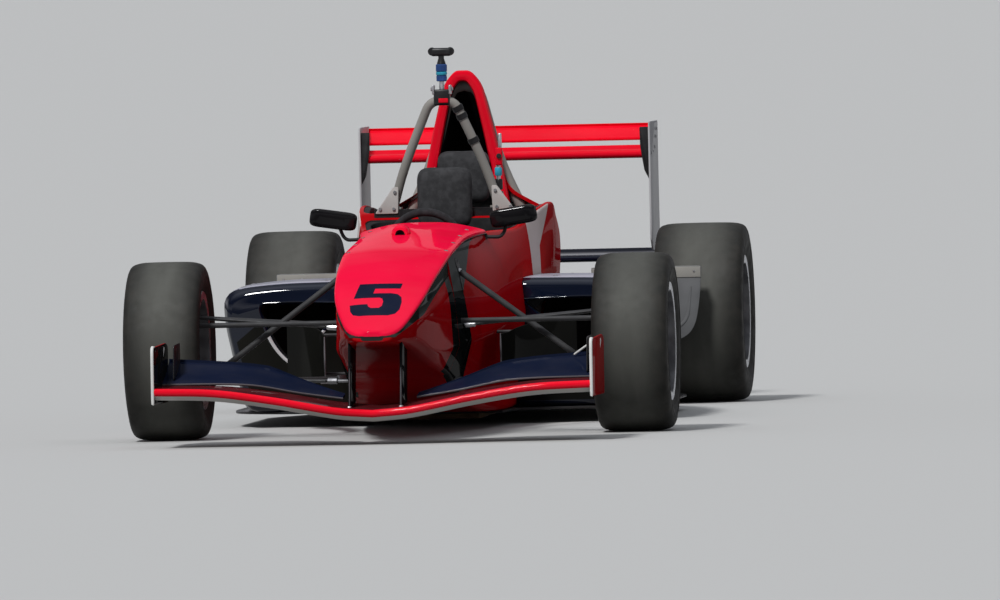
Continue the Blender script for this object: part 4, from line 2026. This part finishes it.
def make_pad(name, centre, size, crown, lean=0.0, replaces=(), slot="headrest_foam", finish=None,
             channels=()):
    width, height, depth = size
    bm = pad_shell(width, height, depth, crown)
    for channel in channels:
        for vert in bm.verts:
            near = abs(vert.co.z - channel * height)
            if near < CHANNEL_HALF and vert.co.y < -depth * 0.8:
                vert.co.y += CHANNEL_DEPTH * (1 - near / CHANNEL_HALF)
    bmesh.ops.rotate(bm, verts=bm.verts, cent=(0, 0, 0), matrix=Matrix.Rotation(math.radians(lean), 3, "X"))
    bmesh.ops.translate(bm, vec=(centre[0], at(centre[1]), centre[2]), verts=bm.verts)
    piece = make_piece(name, bm, [finish or foam_cover], slot, replaces=replaces, shade=60)
    return piece


make_pad("headrest_front", (0.0, 1.4235, 0.702), (0.176, 0.194, 0.038), 0.0065, replaces=["headrests"])
make_pad("headrest_rear", (0.0, 2.0490, 0.756), (0.168, 0.168, 0.038), 0.0065)

# %% [markdown]
# The seat shells are hard mouldings, so soft pads are laid into them: one for the base and one for the
# back of each seat, with sewn channels across. They are padded pieces too.

# %% Seat pads
def make_seat_pads(name, station, height, half):
    """Base and back pads that follow the slopes of the shell."""
    make_pad(f"{name}_back_pad", (0.0, station + 0.295, height + 0.262),
             (half * 1.62, 0.36, 0.026), 0.005, lean=-34.0,
             slot="seat_black", finish=pad_cloth, channels=(-0.25, 0.0, 0.25))
    make_pad(f"{name}_base_pad", (0.0, station + 0.090, height + 0.040),
             (half * 1.62, 0.16, 0.022), 0.004, lean=-86.0,
             slot="seat_black", finish=pad_cloth, channels=(0.0,))


make_seat_pads("front_seat", 0.800, 0.072, 0.178)
make_seat_pads("rear_seat", 1.490, 0.072, 0.200)

# %% [markdown]
# A harness is flat webbing. Each strap is a ribbon laid along a few points on the pad, with a thin
# thickness, and every strap is declared as a sheet with the size it was cut to.

# %% Harness
STRAP_WIDTH = 0.046
STRAP_THICK = 0.0016
BUCKLE = [(0.0, 0.0), (0.030, 0.0), (0.033, 0.003), (0.033, 0.010), (0.028, 0.014),
          (0.012, 0.015), (0.0, 0.013)]


def ribbon(points, width, thick):
    bm = new_shell()
    points = [Vector(point) for point in points]
    sections = []
    for index, point in enumerate(points):
        way = (points[min(index + 1, len(points) - 1)] - points[max(index - 1, 0)]).normalized()
        side = Vector((1.0, 0.0, 0.0))
        side = (side - way * side.dot(way)).normalized()
        up = side.cross(way).normalized()
        corners = [(-width / 2, -thick / 2), (width / 2, -thick / 2), (width / 2, thick / 2),
                   (-width / 2, thick / 2)]
        sections.append([point + side * a + up * b for a, b in corners])
    skin(bm, sections, closed=True)
    close_ends(bm)
    length = sum((b - a).length for a, b in zip(points, points[1:]))
    return bm, length


def make_strap(name, route):
    points = softened([(x, at(y), z) for x, y, z in route], [0] + [0.05] * (len(route) - 2) + [0], arc=6)
    dense = []
    for start, stop in zip(points, points[1:]):
        dense += [start.lerp(stop, step / 4) for step in range(4)]
    bm, length = ribbon(dense + [points[-1]], STRAP_WIDTH, STRAP_THICK)
    piece = make_piece(name, bm, [webbing], "seat_black", shade=50)


def make_harness(name, station, height):
    for side, sign in SIDES.items():
        make_strap(f"{name}_shoulder_strap_{side}",
                   [(sign * 0.075, station + 0.435, height + 0.530),
                    (sign * 0.075, station + 0.405, height + 0.462),
                    (sign * 0.070, station + 0.300, height + 0.306),
                    (sign * 0.030, station + 0.175, height + 0.148)])
        make_strap(f"{name}_lap_strap_{side}",
                   [(sign * 0.145, station + 0.190, height + 0.100),
                    (sign * 0.085, station + 0.165, height + 0.118),
                    (sign * 0.030, station + 0.160, height + 0.124)])
    lever = block((0.0, 0.020, 0.014), (0.016, 0.030, 0.005), 0.0015)
    shells = moved([(spun(BUCKLE, (0, 0, 0), "Z", 36), 0), (lever, 1)],
                   (0.0, at(station + 0.158), height + 0.126),
                   turn=Matrix.Rotation(math.radians(48.0), 3, "X"))
    joined(f"{name}_buckle", shells, [steel, bead_red], "rod_steel")


make_harness("front_harness", 0.800, 0.072)
make_harness("rear_harness", 1.490, 0.072)

# %% [markdown]
# The steering wheel is drawn flat, as if it lay on its back, and then tilted onto its column. It has a
# suede rim that is fatter where it is gripped, a dark plate with three spokes, a few switches, and a ring
# behind it that releases it from the shaft.

# %% Steering wheel
WHEEL_CENTRE = (0.0, 0.790, 0.560)
WHEEL_TILT = 14.0
WHEEL_RADIUS = 0.112
GRIP_STEPS, GRIP_SIDES = 72, 16
SPOKE_PLATE = [(-0.100, 0.012), (-0.045, 0.040), (0.045, 0.040), (0.100, 0.012), (0.100, -0.012),
               (0.040, -0.038), (0.018, -0.100), (-0.018, -0.100), (-0.040, -0.038), (-0.100, -0.012)]
SPOKE_SOFT = [0.004] + [0.02] * 2 + [0.004] * 2 + [0.02, 0.004, 0.004, 0.02, 0.004]
RELEASE_RING = [(0.0, 0.0), (0.028, 0.0), (0.030, -0.004), (0.030, -0.016), (0.024, -0.020), (0.0, -0.020)]
BUTTON = [(0.0062, 0.0), (0.0062, 0.005), (0.0045, 0.007)]
BUTTONS = [(-0.060, 0.016, 4), (0.060, 0.016, 5), (-0.040, -0.010, 5), (0.040, -0.010, 4), (-0.028, 0.026, 2),
           (0.028, 0.026, 2)]


def grip_ring():
    rings = []
    for step in range(GRIP_STEPS):
        turn = math.tau * step / GRIP_STEPS
        fat = 0.0118 + 0.0012 * math.cos(turn * 2) ** 4
        spot = Vector((math.cos(turn), 0.0, math.sin(turn)))
        centre = spot * WHEEL_RADIUS
        rings.append([centre + spot * fat * math.cos(a) + Vector((0, fat * math.sin(a), 0))
                      for a in [math.tau * k / GRIP_SIDES for k in range(GRIP_SIDES)]])
    grip = new_shell()
    skin(grip, rings + rings[:1], closed=True)
    bmesh.ops.remove_doubles(grip, verts=grip.verts, dist=1e-5)
    return grip


def make_steering_wheel():
    points = softened(SPOKE_PLATE, SPOKE_SOFT, closed=True)
    shells = [(grip_ring(), 0), (slab([(p.x, -0.004, p.y) for p in points], (0, 0.006, 0), 0.0012), 1),
              (spun(RELEASE_RING, (0, -0.002, 0), "Y", 32), 2),
              (turned([(0.0100, -0.018), (0.0100, -0.170)], (0, 0, 0), "Y"), 3)]
    shells += [(turned(BUTTON, (x, 0.002, z), "Y", 20), kind) for x, z, kind in BUTTONS]
    for number in range(6):
        turn = math.tau * number / 6
        spot = (0.020 * math.cos(turn), 0.002, 0.020 * math.sin(turn))
        shells.append((hex_head(spot, "Y", 0.0035, 0.003), 3))
    shells += [(block((x, -0.016, 0.006), (0.050, 0.004, 0.030), 0.0018), 3) for x in (-0.058, 0.058)]
    x, station, z = WHEEL_CENTRE
    tilt = Matrix.Rotation(math.radians(WHEEL_TILT), 3, "X")
    joined("steering_wheel_set", moved(shells, (x, at(station), z), turn=tilt),
           [suede, carbon_cloth, matt_black, machined_alloy, bead_red, camera_blue], "steering_grip",
           body="steering_wheel_body", replaces=["steering_wheel"])


make_steering_wheel()

# %% [markdown]
# Beside each front corner of the floor a curved vane turns the air round the sidepod. It is one thin
# sheet that follows a bent line seen from above, with a grey bead on its front edge and a small foot.

# %% Turning vanes
VANE_PATH = [(0.272, 0.300), (0.300, 0.520), (0.370, 0.740), (0.450, 0.900)]
VANE_LOW, VANE_HIGH = 0.152, 0.328


def make_vanes():
    line = softened([(x, at(y), 0.0) for x, y in VANE_PATH], [0, 0.12, 0.12, 0], arc=10)
    bm = new_shell()
    sections = []
    for index, spot in enumerate(line):
        way = (line[min(index + 1, len(line) - 1)] - line[max(index - 1, 0)]).normalized()
        out = Vector((way.y, -way.x, 0.0))
        share = index / (len(line) - 1)
        low = VANE_LOW + 0.010 * (1 - share)
        high = VANE_HIGH - 0.030 * (1 - share) ** 2
        bulge = 0.006 * math.sin(math.pi * share)
        low_spot, high_spot = spot + Vector((0, 0, low)), spot + Vector((0, 0, high))
        mid_spot = spot + Vector((0, 0, (low + high) / 2))
        sections.append([low_spot - out * 0.002, spot + Vector((0, 0, low - 0.001)), low_spot + out * 0.002,
                         mid_spot + out * (0.0024 + bulge), high_spot + out * 0.002,
                         spot + Vector((0, 0, high + 0.001)), high_spot - out * 0.002,
                         mid_spot - out * (0.0024 - bulge)])
    skin(bm, sections, closed=True)
    close_ends(bm)
    front = line[0]
    bead = [front + Vector((0, 0, z)) for z in (VANE_LOW + 0.008, 0.20, 0.26, VANE_HIGH - 0.028)]
    shells = [(bm, 0), (swept(bead, 0.0028, ends=(0.6, 0.6), level=(0, 1, 0)), 1),
              (block((front.x, front.y, VANE_LOW + 0.006), (0.026, 0.034, 0.006), 0.002), 1)]
    for z in (0.180, 0.300):
        shells += [(swept(straight((0.303, at(0.520), z), (0.220, at(0.520), z)), 0.0050, count=12), 2),
                   (hex_head((0.300, at(0.520), z), "X", 0.0062, 0.006), 2)]
    joined("turning_vane_pair", doubled(shells), [pod_black, flap_edge, arm_paint], "carbon_black",
           replaces=["turning_vanes"])


make_vanes()

# %% [markdown]
# The floor is one thin carbon sheet under the whole car. Its front corners are cut away in a curve, so
# that they do not catch the ground under braking, and its edge is rounded.

# %% Car floor
FLOOR_EDGE = [(0.225, 0.800), (0.240, 1.040), (0.520, 1.110), (0.650, 1.240), (0.675, 1.400),
              (0.675, 2.250), (0.480, 2.780),
              (0.480, 2.799)]


def make_floor():
    half = [Vector((x, at(y), 0.0420)) for x, y in FLOOR_EDGE]
    rim = softened(half, [0, 0.02, 0.10, 0.12, 0.10, 0.05, 0.01, 0], arc=6)
    outline = rim + [Vector((-p.x, p.y, p.z)) for p in reversed(rim)]
    make_piece("floor_panel", slab(outline, (0, 0, 0.0078), 0.0022), [carbon_cloth], "carbon_black",
               replaces=["floor_pan"])


make_floor()

# %% [markdown]
# A plate stands on the tail of each sidepod and keeps the air off the rear tyre. It is a mottled grey
# sheet with a folded shelf on top, a stiffening bead, and rivets along the fold.

# %% Tyre deflectors
DEFLECTOR = [(0.330, 0.050), (0.360, 0.050), (0.410, 0.200), (0.590, 0.200), (0.656, 0.235),
             (0.676, 0.330), (0.684, 0.445),
             (0.330, 0.445)]
DEFLECTOR_STATION = 2.770
DEFLECTOR_RIB = [(0.430, 0.235), (0.580, 0.235), (0.635, 0.270), (0.650, 0.380)]
RIVET = [(0.0, -0.0022), (0.003, -0.0016), (0.0042, 0.0004), (0.0, 0.0004)]
RIVETS = (0.36, 0.42, 0.48, 0.54, 0.60, 0.66)


def make_deflectors():
    points = softened(DEFLECTOR, [0, 0, 0.010, 0.040, 0.060, 0.150, 0.008, 0.008], closed=True, arc=6)
    sheet = slab([(p.x, at(DEFLECTOR_STATION), p.y) for p in points], (0, 0.004, 0), 0.0012)
    shelf = block((0.503, at(DEFLECTOR_STATION + 0.022), 0.443), (0.346, 0.042, 0.004), 0.0014)
    lip = block((0.506, at(DEFLECTOR_STATION - 0.0008), 0.426), (0.350, 0.003, 0.034), 0.0010)
    shells = [(sheet, 0), (shelf, 1), (lip, 1)]
    rib = softened([(x, at(DEFLECTOR_STATION - 0.0008), z) for x, z in DEFLECTOR_RIB], [0, 0.03, 0.03, 0])
    shells.append((swept(rib, 0.0050, 0.0022, 8, ends=(0.4, 0.4), level=(0, 1, 0)), 0))
    shells += [(spun(RIVET, (x, at(DEFLECTOR_STATION - 0.0022), 0.428), "Y", 12), 2) for x in RIVETS]
    joined("tyre_deflector_pair", doubled(shells), [mottled_grey, shelf_grey, steel], "grey_paint",
           replaces=["tyre_deflectors"])


make_deflectors()

# %% [markdown]
# The dash fills the front wall of the cockpit. A small display in a dark frame and four switches stand
# on it.

# %% Dash fittings
SWITCH = [(0.0, 0.0), (0.008, 0.0), (0.008, 0.003), (0.004, 0.004), (0.0025, 0.012),
          (0.003, 0.018), (0.0, 0.019)]


def make_dash_fittings():
    y = at(0.695)
    shells = [(block((0.0, y + 0.008, 0.575), (0.100, 0.016, 0.046), 0.005), 0),
              (block((0.0, y + 0.0165, 0.576), (0.080, 0.002, 0.030), 0.0006), 1)]
    shells += [(spun(SWITCH, (x, y, 0.555), "Y", 16), 2) for x in (-0.130, -0.100, 0.100, 0.130)]
    joined("dash_fittings", shells, [matt_black, mirror_glass, machined_alloy], "carbon_black")


make_dash_fittings()

# %% [markdown]
# Two spring and damper units lie on top of the gearbox, where the pushrods reach them. A coil spring is
# a round wire swept along a helix, between two collars on the damper's body.

# %% Dampers
WIRE_SIDES = 16
BUSH = [(0.0045, -0.008), (0.011, -0.008), (0.011, 0.008), (0.0045, 0.008), (0.0045, -0.008)]


def coil(start, stop, radius, wire, turns):
    start, stop = Vector(start), Vector(stop)
    facing = (stop - start).to_track_quat("Z", "Y").to_matrix()
    points = []
    for number in range(turns * WIRE_SIDES + 1):
        turn = math.tau * number / WIRE_SIDES
        spot = Vector((radius * math.cos(turn), radius * math.sin(turn), 0))
        points.append(start.lerp(stop, number / (turns * WIRE_SIDES)) + facing @ spot)
    return swept(points, wire, count=8, ends=(0.6, 0.6))


DAMPER_FRONT = (0.052, 2.985, 0.384)
DAMPER_BACK = (0.046, 3.175, 0.374)
COLLAR_SHARES = (0.12, 0.90)
COIL_TURNS = 7


def damper(sign):
    front, back = (Vector((sign * x, at(y), z)) for x, y, z in (DAMPER_FRONT, DAMPER_BACK))
    way = back - front
    shells = [(swept(straight(front, back), 0.0070, count=16), 0)]
    body = straight(front + way * 0.02, front + way * 0.55)
    shells.append((swept(body, 0.0150, count=24, ends=(0.8, 0.8)), 1))
    for share in COLLAR_SHARES:
        spot = front + way * share
        collar = straight(spot, spot + way * 0.035, inset=0.001)
        shells.append((swept(collar, 0.0265, count=28, ends=(0.9, 0.9)), 0))
    shells.append((coil(front + way * 0.16, front + way * 0.89, 0.0215, 0.0034, COIL_TURNS), 2))
    for spot in (front, back):
        shells += [(spun(BUSH, spot, "X", 20), 0),
                   (hex_head(spot + Vector((0.009 * sign, 0, 0)), "X", 0.0070), 0),
                   (block(spot - Vector((0, 0, 0.024)), (0.006, 0.020, 0.050), 0.0015), 0)]
    return shells


def make_dampers():
    finishes = [machined_alloy, matt_black, camera_blue]
    joined("rear_damper_pair", damper(1) + damper(-1), finishes, "rod_steel")


make_dampers()

# %% [markdown]
# The gearbox case is a casting. Seven ribs cross its top, and a row of bolts runs along each side of
# them.

# %% Casting details
CASE_START, CASE_TOP, CASE_FALL = 2.950, 0.3600, 0.0638
RIB_STATIONS = (2.99, 3.04, 3.09, 3.14, 3.19, 3.24, 3.29)
BOLT_X, BOLT_BEHIND = 0.078, 0.025


def make_casting_details():
    shells = []
    for station in RIB_STATIONS:
        top = CASE_TOP - (station - CASE_START) * CASE_FALL
        shells.append((block((0.0, at(station), top - 0.002), (0.150, 0.006, 0.012), 0.0015), 0))
        for sign in (1, -1):
            spot = (sign * BOLT_X, at(station + BOLT_BEHIND), top - 0.0035)
            shells.append((hex_head(spot, "Z", 0.0052, 0.005), 1))
    joined("casting_details", shells, [cast_alloy, machined_alloy], "engine_metal")


make_casting_details()

# %% [markdown]
# Behind the gearbox there is a red rain light made of small lenses in a dark frame.

# %% Rain light
LENS = [(0.0, 0.0030), (0.003, 0.0022), (0.0042, 0.0), (0.0, 0.0)]
LENS_ROWS, LENS_COLUMNS = 4, 6
LENS_FIRST, LENS_LOW = -0.0275, 0.268
LENS_ASIDE, LENS_UP = 0.011, 0.0112


def make_tail_fittings():
    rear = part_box("rear_crash_structure")[1].y
    shells = [(block((0.0, rear - 0.004, 0.285), (0.080, 0.012, 0.058), 0.003), 0)]
    for row in range(LENS_ROWS):
        for column in range(LENS_COLUMNS):
            spot = (LENS_FIRST + column * LENS_ASIDE, rear + 0.001, LENS_LOW + row * LENS_UP)
            shells.append((spun(LENS, spot, "Y", 10), 1))
    joined("rain_light", shells, [matt_black, lens_red], "black_gloss")


make_tail_fittings()

# %% [markdown]
# Most solids keep their shape and only need their finish. The table pairs each finish with the solids
# that wear it.

# %% Dress the solids
DRESS = [
    (carbon_cloth, ["rear_crash_structure", "diffuser", "dash_panel", "hoop_bulkhead"]),
    (core_fins, ["radiators"]),
    (cast_alloy, ["engine_block", "gearbox_case"]),
    (plank_board, ["skid_plank"]),
    (seat_plastic, ["front_seat", "rear_seat"]),
    (arm_paint, ["steering_rack"]),
    (steel, ["rack_housing", "drive_shaft_left", "drive_shaft_right"]),
    (machined_alloy, ["rear_uprights", "upright_front_left", "upright_front_right"]),
]


def dress(part, finish):
    part.data.materials.clear()
    part.data.materials.append(finish)


BEVELLED = {"engine_block": 0.004, "rear_crash_structure": 0.002, "hoop_bulkhead": 0.002, "skid_plank": 0.002,
            "dash_panel": 0.0015, "rear_uprights": 0.0012}


def soften(part, width):
    """Weld joins the triangles of the solid's mesh, so that Bevel sees its edges."""
    part.modifiers.new("weld", "WELD").merge_threshold = 1e-5
    bevel = part.modifiers.new("bevel", "BEVEL")
    bevel.width, bevel.segments, bevel.profile = width, 2, 0.5
    bevel.limit_method, bevel.angle_limit = "ANGLE", math.radians(40.0)
    bevel.harden_normals = True


for finish, names in DRESS:
    for name in names:
        dress(parts[name], finish)
for name, width in BEVELLED.items():
    soften(parts[name], width)
print(f"{sum(len(names) for _, names in DRESS)} solids dressed")

# %% [markdown]
# The studio floor is a plain pale sheet, wide enough to fill the view behind the car from a low camera.
# Light that bounces off it is kept weak, so that the belly of the car stays dark. It belongs to the
# stage and not to the car.

# %% Studio floor
FLOOR_SIZE = 1200.0
SHEET = (0.52, 0.52, 0.51)
SHEET_BOUNCE = (0.20, 0.20, 0.196)


def sheet_finish():
    finish = new_finish("floor_sheet", SHEET, 0.85)
    rays = add(finish, "LightPath").outputs
    mirrored = math_of(finish, "MAXIMUM", rays["Is Glossy Ray"], rays["Is Transmission Ray"])
    direct = math_of(finish, "MAXIMUM", rays["Is Camera Ray"], mirrored)
    set_color(finish, blend_colors(finish, direct, SHEET_BOUNCE, SHEET))
    return finish


def make_studio_floor():
    bm = bmesh.new()
    bmesh.ops.create_grid(bm, x_segments=1, y_segments=1, size=FLOOR_SIZE / 2)
    mesh = bpy.data.meshes.new("studio_floor")
    bm.to_mesh(mesh)
    bm.free()
    mesh.materials.append(sheet_finish())
    floor = bpy.data.objects.new("studio_floor", mesh)
    bpy.context.scene.collection.objects.link(floor)


make_studio_floor()
print(f"studio floor {FLOOR_SIZE:.0f} m wide")
